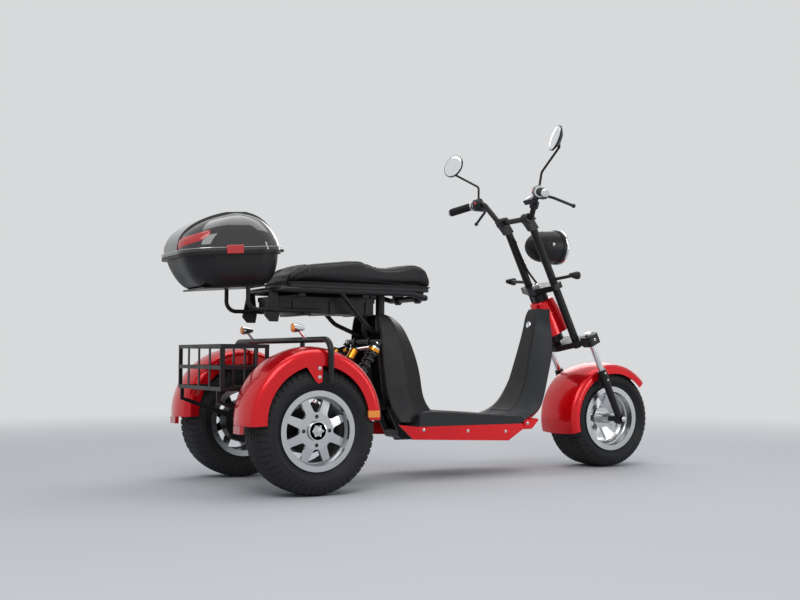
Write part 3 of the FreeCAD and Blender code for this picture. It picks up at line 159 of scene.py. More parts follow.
def add_world():
    """A dim blue fill that lights the object, and a pale grey that the camera and mirrors see."""
    world = bpy.data.worlds.new("studio")
    scene.world = world
    world.use_nodes = True
    tree = world.node_tree
    tree.nodes.clear()
    out = tree.nodes.new("ShaderNodeOutputWorld")
    fill = tree.nodes.new("ShaderNodeBackground")
    fill.inputs["Color"].default_value = (*FILL_COLOR, 1)
    fill.inputs["Strength"].default_value = FILL_STRENGTH
    seen = tree.nodes.new("ShaderNodeBackground")
    seen.inputs["Color"].default_value = (*BACKGROUND, 1)
    seen.inputs["Strength"].default_value = BACKGROUND_STRENGTH
    path = tree.nodes.new("ShaderNodeLightPath")
    glossy = tree.nodes.new("ShaderNodeMath")
    glossy.operation = "MAXIMUM"
    through = tree.nodes.new("ShaderNodeMath")
    through.operation = "MAXIMUM"
    mix = tree.nodes.new("ShaderNodeMixShader")
    tree.links.new(path.outputs["Is Camera Ray"], glossy.inputs[0])
    tree.links.new(path.outputs["Is Glossy Ray"], glossy.inputs[1])
    tree.links.new(glossy.outputs[0], through.inputs[0])
    tree.links.new(path.outputs["Is Transmission Ray"], through.inputs[1])
    tree.links.new(through.outputs[0], mix.inputs[0])
    tree.links.new(fill.outputs[0], mix.inputs[1])
    tree.links.new(seen.outputs[0], mix.inputs[2])
    tree.links.new(mix.outputs[0], out.inputs[0])


add_camera()
for row in LIGHTS:
    add_light(*row)
add_world()
scene.view_settings.view_transform = "Standard"


# Materials

NOISE_LOW = 0.3
NOISE_HIGH = 0.7
BUMP_DISTANCE = 0.001
FINISHES = {
    # colour, roughness, then what else the finish has
    "candy_red": ((0.70, 0.002, 0.008), 0.28, dict(metal=0.45, coat=0.6, coat_rough=0.03, wear=0.03,
                                                   grain=0.04, grain_scale=1500, shine=0.15, tint=1.08)),
    "satin_black": ((0.010, 0.010, 0.011), 0.34, dict(shine=0.28, grain=0.12, grain_scale=900, wear=0.08)),
    "strap_black": ((0.010, 0.010, 0.011), 0.38, dict(shine=0.28, grain=0.2, grain_scale=700, wear=0.1)),
    "grey_cast": ((0.07, 0.073, 0.078), 0.5, dict(metal=0.5, grain=0.3, grain_scale=900, wear=0.08)),
    "chrome_steel": ((0.80, 0.81, 0.82), 0.08, dict(metal=1.0, wear=0.04, tint=0.94)),
    "spring_steel": ((0.012, 0.012, 0.013), 0.24, dict(coat=0.6, wear=0.08)),
    "dark_plastic": ((0.020, 0.021, 0.023), 0.5, dict(shine=0.28, grain=0.28, grain_scale=850, wear=0.1)),
    "black_plastic": ((0.010, 0.010, 0.011), 0.4, dict(shine=0.28, grain=0.14, grain_scale=900, wear=0.1)),
    "gloss_black": ((0.004, 0.004, 0.005), 0.08, dict(coat=1.0, coat_rough=0.02, wear=0.03)),
    "lamp_glass": ((0.62, 0.65, 0.68), 0.06, dict(metal=0.6, coat=1.0, grain=0.5, grain_scale=90, wear=0.03,
                                                  pattern="VORONOI")),
    "rubber_black": ((0.012, 0.012, 0.013), 0.6, dict(shine=0.28, grain=0.3, grain_scale=700, wear=0.1)),
    "vinyl_black": ((0.012, 0.012, 0.013), 0.4, dict(shine=0.28, grain=0.45, grain_scale=520, wear=0.08,
                                                     pattern="VORONOI")),
    "tyre_rubber": ((0.016, 0.016, 0.017), 0.62, dict(shine=0.28, grain=0.3, grain_scale=500, wear=0.12)),
    "alloy": ((0.58, 0.59, 0.60), 0.2, dict(metal=1.0, grain=0.1, grain_scale=1100, wear=0.07, tint=1.05)),
    "red_lens": ((0.45, 0.002, 0.006), 0.1, dict(coat=1.0, grain=0.6, grain_scale=170, wear=0.03,
                                                 pattern="VORONOI", glow=0.05)),
    "amber_lens": ((0.85, 0.25, 0.01), 0.12, dict(coat=1.0, grain=0.6, grain_scale=170, wear=0.03,
                                                  pattern="VORONOI", glow=0.05)),
    "amber_anodised": ((0.80, 0.30, 0.01), 0.25, dict(metal=0.85, coat=0.3, wear=0.05)),
}


def new_material(name, color, rough, metal=0.0, coat=0.0, coat_rough=0.05, grain=0.0, grain_scale=300,
                 wear=0.0, wear_scale=12, pattern="NOISE", tint=1.18, glow=0.0, shine=0.5):
    """A principled material whose colour, roughness and bump vary over the surface."""
    material = bpy.data.materials.new(name)
    material.use_nodes = True
    tree = material.node_tree
    shader = tree.nodes["Principled BSDF"]
    shader.inputs["Metallic"].default_value = metal
    shader.inputs["Coat Weight"].default_value = coat
    shader.inputs["Coat Roughness"].default_value = coat_rough
    shader.inputs["Emission Color"].default_value = (*color, 1)
    shader.inputs["Emission Strength"].default_value = glow
    shader.inputs["Specular IOR Level"].default_value = shine
    place = tree.nodes.new("ShaderNodeTexCoord")
    broad = tree.nodes.new("ShaderNodeTexNoise")
    broad.inputs["Scale"].default_value = wear_scale
    broad.inputs["Detail"].default_value = 4
    tree.links.new(place.outputs["Object"], broad.inputs["Vector"])
    ramp = tree.nodes.new("ShaderNodeMapRange")
    ramp.inputs["From Min"].default_value = NOISE_LOW
    ramp.inputs["From Max"].default_value = NOISE_HIGH
    ramp.inputs["To Min"].default_value = max(0.0, rough - wear)
    ramp.inputs["To Max"].default_value = min(1.0, rough + wear)
    tree.links.new(broad.outputs["Fac"], ramp.inputs["Value"])
    tree.links.new(ramp.outputs["Result"], shader.inputs["Roughness"])
    shade = tree.nodes.new("ShaderNodeMix")
    shade.data_type = "RGBA"
    shade.inputs[6].default_value = (*color, 1)
    shade.inputs[7].default_value = (*[min(1.0, c * tint + 0.002) for c in color], 1)
    tree.links.new(broad.outputs["Fac"], shade.inputs[0])
    tree.links.new(shade.outputs[2], shader.inputs["Base Color"])
    if grain:
        kind = "ShaderNodeTexNoise" if pattern == "NOISE" else "ShaderNodeTexVoronoi"
        fine = tree.nodes.new(kind)
        height = fine.outputs["Fac" if pattern == "NOISE" else "Distance"]
        fine.inputs["Scale"].default_value = grain_scale
        tree.links.new(place.outputs["Object"], fine.inputs["Vector"])
        bump = tree.nodes.new("ShaderNodeBump")
        bump.inputs["Strength"].default_value = grain
        bump.inputs["Distance"].default_value = BUMP_DISTANCE
        tree.links.new(height, bump.inputs["Height"])
        tree.links.new(bump.outputs["Normal"], shader.inputs["Normal"])
    return material


MATERIALS = {name: new_material(name, color, rough, **more)
             for name, (color, rough, more) in FINISHES.items()}
SLOTS = {part["node"]: part["material_slot"] for part in frame["record"]["subparts"]}
MIRROR_GLASS = new_material("mirror_glass", (0.9, 0.92, 0.93), 0.01, metal=1.0, wear=0.005, tint=0.98)
PIPING = new_material("seat_piping", (0.02, 0.02, 0.021), 0.32, grain=0.2, grain_scale=800, wear=0.05)
SCREEN = new_material("dash_screen", (0.015, 0.02, 0.03), 0.05, coat=1.0, wear=0.02)
BOLT = new_material("zinc_bolt", (0.62, 0.63, 0.64), 0.22, metal=1.0, wear=0.08, tint=0.9)

for name, obj in nodes.items():
    obj.data.materials.clear()
    obj.data.materials.append(MATERIALS[SLOTS[name]])


# Mesh helpers


def smooth(obj, angle=35):
    """Smooth shading with sharp edges above an angle."""
    for face in obj.data.polygons:
        face.use_smooth = True
    obj.data.set_sharp_from_angle(angle=math.radians(angle))
    return obj


def bake(obj):
    """Applies the modifiers of an object to its mesh."""
    graph = bpy.context.evaluated_depsgraph_get()
    mesh = bpy.data.meshes.new_from_object(obj.evaluated_get(graph))
    old = obj.data
    obj.modifiers.clear()
    obj.data = mesh
    bpy.data.meshes.remove(old)


def piece(name, verts, faces, material, body, angle=35):
    """A shown piece that rides on a CAD body. Its finish is a record slot's name or a material of its own."""
    mesh = bpy.data.meshes.new(name)
    mesh.from_pydata([tuple(v) for v in verts], [], faces)
    obj = bpy.data.objects.new(name, mesh)
    scene.collection.objects.link(obj)
    tool = bmesh.new()
    tool.from_mesh(mesh)
    bmesh.ops.recalc_face_normals(tool, faces=tool.faces)
    tool.to_mesh(mesh)
    tool.free()
    if isinstance(material, str):
        mesh.materials.append(MATERIALS[material])
    else:
        mesh.materials.append(material)
    smooth(obj, angle)
    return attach(obj, body)


def circle(middle, side, other, radius, count):
    """Points round a spot in the plane of two directions, with the radius in millimetres."""
    points = []
    for step in range(count):
        angle = 2 * math.pi * step / count
        points.append(moved(middle, side * math.cos(angle) + other * math.sin(angle), radius))
    return points


def curve(p0, p1, p2, p3, t):
    """The Catmull-Rom curve between p1 and p2 at a share of its way, for numbers or vectors."""
    return 0.5 * ((2 * p1) + (p2 - p0) * t + (2 * p0 - 5 * p1 + 4 * p2 - p3) * t * t
                  + (3 * p1 - p0 - 3 * p2 + p3) * t ** 3)


def smooth_line(points, steps):
    """A smooth line through points, with some steps from each point to the next."""
    line = []
    count = len(points)
    for number in range(count - 1):
        before = points[max(number - 1, 0)]
        after = points[min(number + 2, count - 1)]
        for step in range(steps):
            line.append(curve(before, points[number], points[number + 1], after, step / steps))
    line.append(points[-1])
    return line


def blended(rows, x):
    """The row at x of a table, without its first column, on a smooth line through the rows."""
    for number in range(len(rows) - 1):
        low, high = rows[number], rows[number + 1]
        if low[0] <= x <= high[0]:
            break
    before = rows[max(number - 1, 0)]
    after = rows[min(number + 2, len(rows) - 1)]
    t = (x - low[0]) / (high[0] - low[0])
    return [curve(before[col], low[col], high[col], after[col], t) for col in range(1, len(low))]


def rounded(back, front, half, corner, steps=6):
    """The outline of a rounded rectangle round the origin: (ahead, across) pairs."""
    corner = min(corner, half - 1, (back + front) / 2 - 1)
    middles = ((front - corner, half - corner), (corner - back, half - corner),
               (corner - back, corner - half), (front - corner, corner - half))
    pairs = []
    for quarter, (ahead, across) in enumerate(middles):
        for step in range(steps + 1):
            turn = math.radians(90 * (quarter + step / steps))
            pairs.append((ahead + corner * math.cos(turn), across + corner * math.sin(turn)))
    return pairs


class Pile:
    """Collects simple forms that share one finish, to be shown as one piece."""

    def __init__(self):
        self.verts = []
        self.faces = []

    def add(self, verts, faces):
        start = len(self.verts)
        self.verts += [Vector(v) for v in verts]
        self.faces += [tuple(start + index for index in face) for face in faces]

    def show(self, name, material, body, angle=35):
        return piece(name, self.verts, self.faces, material, body, angle)

    def rings(self, rings, closed=False):
        """A skin through rings of points, each of the same count, with its ends capped or joined."""
        count = len(rings[0])
        verts = [spot for ring in rings for spot in ring]
        faces = []
        last = len(rings) if closed else len(rings) - 1
        for row in range(last):
            low, high = row * count, ((row + 1) % len(rings)) * count
            for col in range(count):
                after = (col + 1) % count
                faces.append((low + col, low + after, high + after, high + col))
        if not closed:
            faces.append(tuple(reversed(range(count))))
            faces.append(tuple(range((len(rings) - 1) * count, len(rings) * count)))
        self.add(verts, faces)

    def turned(self, spot, axis, profile, count=24):
        """A solid of revolution: (along, radius) pairs from a spot along an axis, in millimetres."""
        axis = Vector(axis).normalized()
        side = axis.orthogonal().normalized()
        other = axis.cross(side)
        self.rings([circle(moved(spot, axis, along), side, other, radius, count)
                    for along, radius in profile])

    def rod(self, start, end, radius, count=12):
        """A straight round rod between two spots."""
        span = (end - start).length * 1000
        self.turned(start, end - start, [(0, radius), (span, radius)], count)

    def bolt(self, spot, axis, radius=5.0):
        """A washer under a rounded hexagon head with a socket."""
        self.turned(spot, axis, [(-1, radius * 1.5), (1, radius * 1.5), (1.2, radius * 1.4)], 20)
        self.turned(spot, axis, [(0, radius), (radius * 0.8, radius), (radius, radius * 0.8),
                                 (radius, radius * 0.45), (radius * 0.5, radius * 0.42)], 6)

    def tube(self, points, radius, count=10, steps=8):
        """A round tube along a smooth line through points."""
        line = smooth_line(points, steps)
        rings = []
        side = (line[1] - line[0]).orthogonal().normalized()
        for number, spot in enumerate(line):
            run = (line[min(number + 1, len(line) - 1)] - line[max(number - 1, 0)]).normalized()
            side = square_to(side, run)
            rings.append(circle(spot, side, run.cross(side), radius, count))
        self.rings(rings)

    def block(self, low, high):
        """A plain box between two corners of the row frame."""
        xs, ys, zs = zip(low, high)
        verts = [Vector((x, y, z)) for x in xs for y in ys for z in zs]
        self.add(verts, [(0, 1, 3, 2), (4, 6, 7, 5), (0, 4, 5, 1), (2, 3, 7, 6), (0, 2, 6, 4), (1, 5, 7, 3)])

    def plate(self, middle, facing, wide, tall, thick, bevel=1.2):
        """A thin rectangular plate that faces along a direction, in millimetres."""
        facing = Vector(facing).normalized()
        across = square_to(Vector((0, 1, 0)), facing)
        up = facing.cross(across)
        corners = ((-1, -1), (1, -1), (1, 1), (-1, 1))
        rings = []
        for lift, inset in ((0, 0), (thick * 0.7, 0), (thick, bevel)):
            half_wide = across * (wide / 2 - inset)
            half_tall = up * (tall / 2 - inset)
            rings.append([middle + (facing * lift + half_wide * a + half_tall * b) / 1000
                          for a, b in corners])
        self.rings(rings)


# Tyres with tread

BEAD_RADIUS = 127.6
BEAD_GAP = 0.3
LIP_RADIUS = 142.3
WALL_STEPS = 36
WALL_LINES = ((0.20, 0.24), (0.47, 0.50), (0.53, 0.56), (0.72, 0.76))
WALL_LINE_DEPTH = 1.3
FLARE_SHARE = 0.42
FLARE_RATE = 2.4
EDGE_SHARE = 0.86
EDGE_DROP = 14
SHOULDER_ROWS = (
    # share of the half width, drop from the tread's middle, share of the tread's depth
    (EDGE_SHARE, EDGE_DROP, 0),
    (0.81, 9.5, 0.4),
    (0.755, 6.2, 0.8),
)
TREAD_SHARE = 0.69
TREAD_STEPS = 40
TREAD_CROWN = 4
PITCH_STEPS = 10
INNER_SLANT = 0.25
OUTER_SLANT = -0.15
GROOVES = (0.17, 0.52, 0.86)
GROOVE_HALF = 0.045
GROOVE_DEPTH = 4.5
CROSS_CUTS = (
    # from this share of the tread, to this one, width in pitches, depth
    (0.17, 0.52, 0.08, 3.0),
    (0.52, 0.86, 0.13, 4.0),
    (0.86, 2.0, 0.20, 5.0),
)
LUG_DEPTH = 3.2
LUG_REACH = 30
LUG_WIDTH = 0.22
FRONT_TYRE = dict(radius=FRONT_AXLE_Z, half=111, bead_half=88, pitches=52)
REAR_TYRE = dict(radius=REAR_AXLE_Z, half=90, bead_half=64, pitches=54)


def tyre_profile(radius, half, bead_half):
    """The tyre's section from one bead over the tread to the other: (across, radius, share of tread) rows."""
    edge = radius - EDGE_DROP
    rows = [(-bead_half + BEAD_GAP, BEAD_RADIUS, 0), (-bead_half + BEAD_GAP, LIP_RADIUS, 0)]
    for step in range(1, WALL_STEPS):
        t = step / WALL_STEPS
        angle = math.pi / 2 * (t * 2 - 1)
        bulge = half * (EDGE_SHARE + (1 - EDGE_SHARE) * math.cos(angle))
        if any(start < t < end for start, end in WALL_LINES):
            bulge -= WALL_LINE_DEPTH
        level = LIP_RADIUS + (edge - LIP_RADIUS) * t
        start = -bead_half + (-bulge + bead_half) * min(1.0, t * FLARE_RATE)
        rows.append((max(-bulge, start) if t < FLARE_SHARE else -bulge, level, 0))
    for share, drop, depth in SHOULDER_ROWS:
        rows.append((-half * share, radius - drop, depth))
    mirrored = [(-y, r, depth) for y, r, depth in reversed(rows)]
    flat = half * TREAD_SHARE
    for step in range(TREAD_STEPS + 1):
        y = flat * (2 * step / TREAD_STEPS - 1)
        rows.append((y, radius - TREAD_CROWN * (y / flat) ** 2, 1))
    return rows + mirrored


def tread_phase(y, half, turn, pitches):
    """Where a spot lies within one pitch of the tread, from 0 to 1."""
    share = abs(y) / (half * TREAD_SHARE)
    slant = INNER_SLANT * share if share < 0.5 else OUTER_SLANT * share
    return (turn * pitches / (2 * math.pi) + slant + (0.5 if y > 0 else 0.0)) % 1.0


def groove(y, half, turn, pitches):
    """Depth of the tread pattern at a spot: slanted cuts and open shoulders, else straight grooves."""
    share = abs(y) / (half * TREAD_SHARE)
    phase = tread_phase(y, half, turn, pitches)
    for low, high, width, depth in CROSS_CUTS:
        if low < share <= high and phase < width:
            return depth
    if any(abs(share - middle) < GROOVE_HALF for middle in GROOVES):
        return GROOVE_DEPTH
    return 0.0


def dressed_tyre(name, node, spot, body, radius, half, bead_half, pitches):
    """A lathe-turned tyre whose tread is cut in from the CAD tyre's own surface, with ribs on the walls."""
    rows = tyre_profile(radius, half, bead_half)
    steps = pitches * PITCH_STEPS
    rings = []
    for step in range(steps):
        turn = 2 * math.pi * step / steps
        sin, cos = math.sin(turn), math.cos(turn)
        ring = []
        for y, r, share in rows:
            if share:
                r -= groove(y, half, turn, pitches) * share
            if share < 1 and r > radius - LUG_REACH and tread_phase(y, half, turn, pitches) < LUG_WIDTH:
                y -= math.copysign(LUG_DEPTH, y)
            ring.append(at(spot[0] + r * cos, spot[1] + y, spot[2] + r * sin))
        rings.append(ring)
    shape = Pile()
    shape.rings(rings, closed=True)
    tyre = shape.show(name, "tyre_rubber", body, angle=28)
    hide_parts(node)


dressed_tyre("front_tyre_tread", "front_tyre", (WHEELBASE, 0, FRONT_AXLE_Z), "front_wheel", **FRONT_TYRE)
for name, side in SIDES:
    dressed_tyre("rear_tyre_tread_" + name, "rear_tyre_" + name, (0, HALF_TRACK * side, REAR_AXLE_Z),
                 "rear_wheel_" + name, **REAR_TYRE)


# Wheels' small parts, with their profiles as (along, radius) pairs

CAP_FACE = HALF_TRACK + 56
CAP_RING = [(9.5, 34.5), (11, 34), (11.6, 31), (10, 30), (9.5, 30)]
STAR_PINS = 6
STAR_RADIUS = 19
STAR_LIFT = 11.5
STAR_PIN = [(0, 4.2), (1.4, 3.6), (1.6, 0.5)]
NUTS = 4
NUT_FACE = HALF_TRACK + 46
NUT_CIRCLE = 50
NUT = [(0, 6.2), (6, 6.2), (7, 5), (7, 0.5)]
VALVE_FOOT = (96, HALF_TRACK + 52, REAR_AXLE_Z + 60)
VALVE_END = (92, HALF_TRACK + 74, REAR_AXLE_Z + 57)
VALVE_RADIUS = 3.4
HUB_FACE = 30
HUB_PLATE = [(0, 24.2), (0, 46), (2.5, 46), (2.5, 24.2)]


def wheel_details():
    """The rear wheels' caps with their star of pins, nuts and valves, and the front hub's plates."""
    for name, side in SIDES:
        body = "rear_wheel_" + name
        out = Vector((0, side, 0))
        cap = Pile()
        centre = at(0, CAP_FACE * side, REAR_AXLE_Z)
        cap.turned(centre, out, CAP_RING, 48)
        for step in range(STAR_PINS):
            turn = 2 * math.pi / STAR_PINS * step
            foot = moved(centre, Vector((math.cos(turn), 0, math.sin(turn))), STAR_RADIUS)
            cap.turned(moved(foot, out, STAR_LIFT), out, STAR_PIN, 12)
        cap.show("rear_cap_" + name, "chrome_steel", body)
        nuts = Pile()
        for step in range(NUTS):
            turn = 2 * math.pi / NUTS * step
            spot = at(NUT_CIRCLE * math.cos(turn), NUT_FACE * side, REAR_AXLE_Z + NUT_CIRCLE * math.sin(turn))
            nuts.turned(spot, out, NUT, 6)
        nuts.show("rear_nuts_" + name, "spring_steel", body)
        stem = Pile()
        stem.rod(beside(VALVE_FOOT, side), beside(VALVE_END, side), VALVE_RADIUS)
        stem.show("rear_valve_" + name, "rubber_black", body)
    for name, side in SIDES:
        disc = Pile()
        disc.turned(at(WHEELBASE, HUB_FACE * side, FRONT_AXLE_Z), (0, side, 0), HUB_PLATE, 40)
        disc.show("front_hub_plate_" + name, "alloy", "front_wheel")


wheel_details()


# Rear shock absorbers, with places along them as shares of their length

SHOCK_FOOT = Vector((UPRIGHT_X - 200, 0, REAR_AXLE_Z + 69))
SHOCK_TOP = Vector((UPRIGHT_X - 45, 0, SEAT_Z - 190))
SHOCK_HALF = 128
COIL_LOW = 0.2
COIL_HIGH = 0.825
COIL_TURNS = 8.5
COIL_STEPS = 30
COIL_RADIUS = 19.8
WIRE_RADIUS = 4.6
WIRE_COUNT = 8
FLAT_END = 0.07
SLEEVES = ((0.21, 0.83, 14.9), (0.905, 0.955, 15.8))
COLLARS = (
    # place, profile, count
    (0.845, [(-2, 24.4), (0, 24.8), (9, 24.8), (11, 23), (11, 12)], 32),
    (0.9, [(0, 15.5), (5, 15.5), (6, 14)], 24),
)
RESERVOIR = 0.8
RESERVOIR_BACK = 59
RESERVOIR_INWARD = 48
RESERVOIR_ENDS = (
    # distance along the shock from the reservoir's middle, profile
    (22.5, [(-4, 17.6), (1, 17.6), (3, 15), (3.5, 3)]),
    (-23.5, [(-1, 15), (0, 17.5), (4, 17.6)]),
)


def along_shock(share, side):
    """A spot on a shock absorber's axis."""
    spot = SHOCK_FOOT.lerp(SHOCK_TOP, share)
    return at(spot.x, SHOCK_HALF * side, spot.z)


def shock_way(side):
    """The direction from a shock absorber's foot to its top."""
    return (along_shock(1, side) - along_shock(0, side)).normalized()


def coil_springs():
    """A wire coil round each damper, with flat end turns."""
    coils = Pile()
    for _, side in SIDES:
        low, high = along_shock(COIL_LOW, side), along_shock(COIL_HIGH, side)
        run = (high - low).normalized()
        across = run.orthogonal().normalized()
        other = run.cross(across)
        rings = []
        total = int(COIL_TURNS * COIL_STEPS)
        for number in range(total + 1):
            share = number / total
            rise = min(1.0, max(0.0, (share - FLAT_END) / (1 - 2 * FLAT_END)))
            turn = 2 * math.pi * COIL_TURNS * share
            outward = across * math.cos(turn) + other * math.sin(turn)
            middle = moved(low.lerp(high, rise), outward, COIL_RADIUS)
            rings.append(circle(middle, outward, run, WIRE_RADIUS, WIRE_COUNT))
        coils.rings(rings)
    springs = coils.show("spring_coils", "spring_steel", "chassis")
    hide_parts("shock_springs")


def damper_trim():
    """Dark sleeves over the dampers, amber collars and the reservoirs' end caps."""
    sleeves, collars, caps = Pile(), Pile(), Pile()
    for _, side in SIDES:
        run = shock_way(side)
        for low, high, radius in SLEEVES:
            sleeves.rod(along_shock(low, side), along_shock(high, side), radius, 28)
        for share, profile, count in COLLARS:
            collars.turned(along_shock(share, side), run, profile, count)
        middle = along_shock(RESERVOIR, side) + Vector((-RESERVOIR_BACK, -RESERVOIR_INWARD * side, 0)) / 1000
        for distance, profile in RESERVOIR_ENDS:
            caps.turned(moved(middle, run, distance), run, profile, 28)
    sleeves.show("damper_sleeves", "satin_black", "chassis")
    collars.show("spring_collars", "amber_anodised", "chassis")
    caps.show("reservoir_caps", "satin_black", "chassis")


coil_springs()
damper_trim()


# Seat cushion

PAD_LOW = 767.6
PAD = [
    # ahead of the rear axle, top above the pad's underside, half width
    (8, 44, 128),
    (70, 66, 148),
    (215, 85, 150),
    (322, 94, 150),
    (400, 74, 150),
    (470, 74, 149),
    (550, 89, 148),
    (610, 84, 146),
    (640, 33, 128),
]
PAD_SECTIONS = (11, 18, 30, 46, 66, 90, 130, 180, 230, 280, 322, 350, 380, 410, 450, 490, 530, 565, 592, 612,
                624, 632, 637)
PAD_LIFT = 0.6
PAD_INSET = 7
END_INSET = 15
SIDE_POWER = 0.42
TOP_POWER = 0.55
VOXEL = 0.006
TRAY_DEPTH = 0.004
SWELL_FRAMES = 20
SWELL_PRESSURE = 4
SWELL_LIMIT = 0.009
CHANNELS = [
    # ahead of the rear axle, half width that the channel runs across, depth, width
    (352, 160, 5.0, 7.0),
    (120, 96, 2.0, 5.0),
    (180, 104, 2.0, 5.0),
    (240, 106, 2.0, 5.0),
    (300, 106, 2.0, 5.0),
    (430, 92, 2.0, 5.0),
    (490, 92, 2.0, 5.0),
    (545, 90, 2.0, 5.0),
]
CHANNEL_BOW = 2
BOW_REACH = 60
CHANNEL_FLOOR = 0.35
CHANNEL_FADE = 0.4
SIDE_SEAM_SHARE = 0.78
SIDE_SEAM_FLOOR = 0.5
SIDE_SEAM_DEPTH = 2.8
SIDE_SEAM_WIDTH = 4


def pad_ring(x, inset, count=44):
    """One upright section of the cushion, as points round it from the middle of its underside."""
    top, half = [size - inset for size in blended(PAD, x)]
    ring = []
    for step in range(count):
        angle = 2 * math.pi * (step + 0.5) / count - math.pi / 2
        sin, cos = math.sin(angle), math.cos(angle)
        y = half * math.copysign(abs(cos) ** SIDE_POWER, cos)
        z = top * (0.5 + 0.5 * math.copysign(abs(sin) ** TOP_POWER, sin))
        ring.append(at(x, y, PAD_LOW + PAD_LIFT + z))
    return ring


def swell(pad):
    """Swells the cushion by a cloth simulation with pressure, its underside held and its reach capped."""
    start = [vertex.co.copy() for vertex in pad.data.vertices]
    floor = pad.vertex_groups.new(name="tray")
    low = min(co.z for co in start)
    floor.add([index for index, co in enumerate(start) if co.z < low + TRAY_DEPTH], 1.0, "REPLACE")
    cloth = pad.modifiers.new("swell", "CLOTH")
    cloth.settings.vertex_group_mass = "tray"
    cloth.settings.use_pressure = True
    cloth.settings.uniform_pressure_force = SWELL_PRESSURE
    cloth.settings.effector_weights.gravity = 0
    cloth.point_cache.frame_start = 1
    cloth.point_cache.frame_end = SWELL_FRAMES
    for step in range(1, SWELL_FRAMES + 1):
        scene.frame_set(step)
    bake(pad)
    scene.frame_set(1)
    for vertex, home in zip(pad.data.vertices, start):
        move = vertex.co - home
        if move.length > SWELL_LIMIT:
            vertex.co = home + move.normalized() * SWELL_LIMIT


def sew_channels(pad):
    """Pulls the seams in: the step between the two seats, quilting across the top and the side seams."""
    for vertex in pad.data.vertices:
        x = vertex.co.x * 1000 + SHIFT
        y = vertex.co.y * 1000
        z = vertex.co.z * 1000 - PAD_LOW
        top, half = blended(PAD, min(max(x, PAD[0][0] + 1), PAD[-1][0] - 1))
        for middle, reach, depth, width in CHANNELS:
            if z < top * CHANNEL_FLOOR or abs(y) > reach:
                continue
            bow = x - middle + (abs(y) / BOW_REACH) ** 2 * CHANNEL_BOW
            pull = depth * math.exp(-(bow / width) ** 2)
            vertex.co.z -= pull / 1000 * min(1.0, (z - top * CHANNEL_FLOOR) / (top * CHANNEL_FADE))
        if z > top * SIDE_SEAM_FLOOR:
            line = abs(abs(y) - half * SIDE_SEAM_SHARE)
            vertex.co.z -= SIDE_SEAM_DEPTH / 1000 * math.exp(-(line / SIDE_SEAM_WIDTH) ** 2)


def cushion():
    """The saddle: a slightly smaller shape, swelled, sewn and kept inside the CAD pad's space."""
    shape = Pile()
    ends = (PAD_SECTIONS[0], PAD_SECTIONS[-1])
    shape.rings([pad_ring(x, END_INSET if x in ends else PAD_INSET) for x in PAD_SECTIONS])
    pad = shape.show("seat_cushion", "vinyl_black", "seat", angle=60)
    bpy.context.view_layer.objects.active = pad
    remesh = pad.modifiers.new("even_mesh", "REMESH")
    remesh.mode = "VOXEL"
    remesh.voxel_size = VOXEL
    bake(pad)
    swell(pad)
    sew_channels(pad)
    finer = pad.modifiers.new("finer", "SUBSURF")
    finer.levels = 1
    finer.render_levels = 1
    bake(pad)
    smooth(pad, 70)
    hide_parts("seat_pad")
    return pad


# Seat piping, rear seam and the lip over the seat's base

PIPING_START = 30
PIPING_STEP = 10.2
PIPING_POINTS = 58
PIPING_RADIUS = 2.0
PIPING_LIFT = 0.6
ABOVE_SEAT = 930
REAR_SEAM_MIDDLE = (92, 0, PAD_LOW + 30)
REAR_SEAM_FROM = -6
REAR_SEAM_SWEEP = 192
REAR_SEAM_STEPS = 48
REAR_SEAM_RADIUS = 2.2
REAR_SEAM_LIFT = 0.5
REAR_SEAM_OUT = 400
LIP_OUTLINE = ((12, 119), (36, 136), (62, 146), (200, 146), (400, 146), (556, 146), (600, 138), (632, 120))
LIP_ROWS = ((-3.0, 1.2), (0.0, 1.8), (2.6, 1.4), (2.6, -6), (-3.0, -6))
LIP_MIDDLE = 300


def laid_on(pad, rays, lift):
    """The spots on the cushion that some rays meet, lifted off it by millimetres."""
    points = []
    for start, aim in rays:
        hit, spot, _, _ = pad.ray_cast(pad.matrix_world.inverted() @ start, aim)
        if hit:
            points.append(moved(pad.matrix_world @ spot, -aim, lift))
    return points


def seat_trim(pad):
    """Piping round the edge of the top panel, laid on the cushion, and a moulded lip over the seat's base."""
    for name, side in SIDES:
        rays = []
        for step in range(PIPING_POINTS):
            x = PIPING_START + step * PIPING_STEP
            half = blended(PAD, x)[1]
            rays.append((at(x, half * SIDE_SEAM_SHARE * side, ABOVE_SEAT), Vector((0, 0, -1))))
        line = Pile()
        line.tube(laid_on(pad, rays, PIPING_LIFT), PIPING_RADIUS, count=8, steps=2)
        line.show("seat_piping_" + name, PIPING, "seat")
    rays = []
    for step in range(REAR_SEAM_STEPS + 1):
        angle = math.radians(REAR_SEAM_FROM + REAR_SEAM_SWEEP * step / REAR_SEAM_STEPS)
        outward = Vector((0, math.cos(angle), math.sin(angle)))
        rays.append((moved(at(*REAR_SEAM_MIDDLE), outward, REAR_SEAM_OUT), -outward))
    seam = Pile()
    seam.tube(laid_on(pad, rays, REAR_SEAM_LIFT), REAR_SEAM_RADIUS, count=8, steps=2)
    seam.show("seat_rear_seam", PIPING, "seat")
    lip = Pile()
    loop = [(x, -half) for x, half in LIP_OUTLINE] + [(x, half) for x, half in reversed(LIP_OUTLINE)]
    rings = []
    for level, out in LIP_ROWS:
        rings.append([at(x + (out if x > LIP_MIDDLE else -out), y + math.copysign(out, y), PAD_LOW + level)
                      for x, y in loop])
    lip.rings(rings, closed=True)
    lip.show("seat_tray_lip", "rubber_black", "seat")


seat_trim(cushion())


# Red cowl's neck and chin

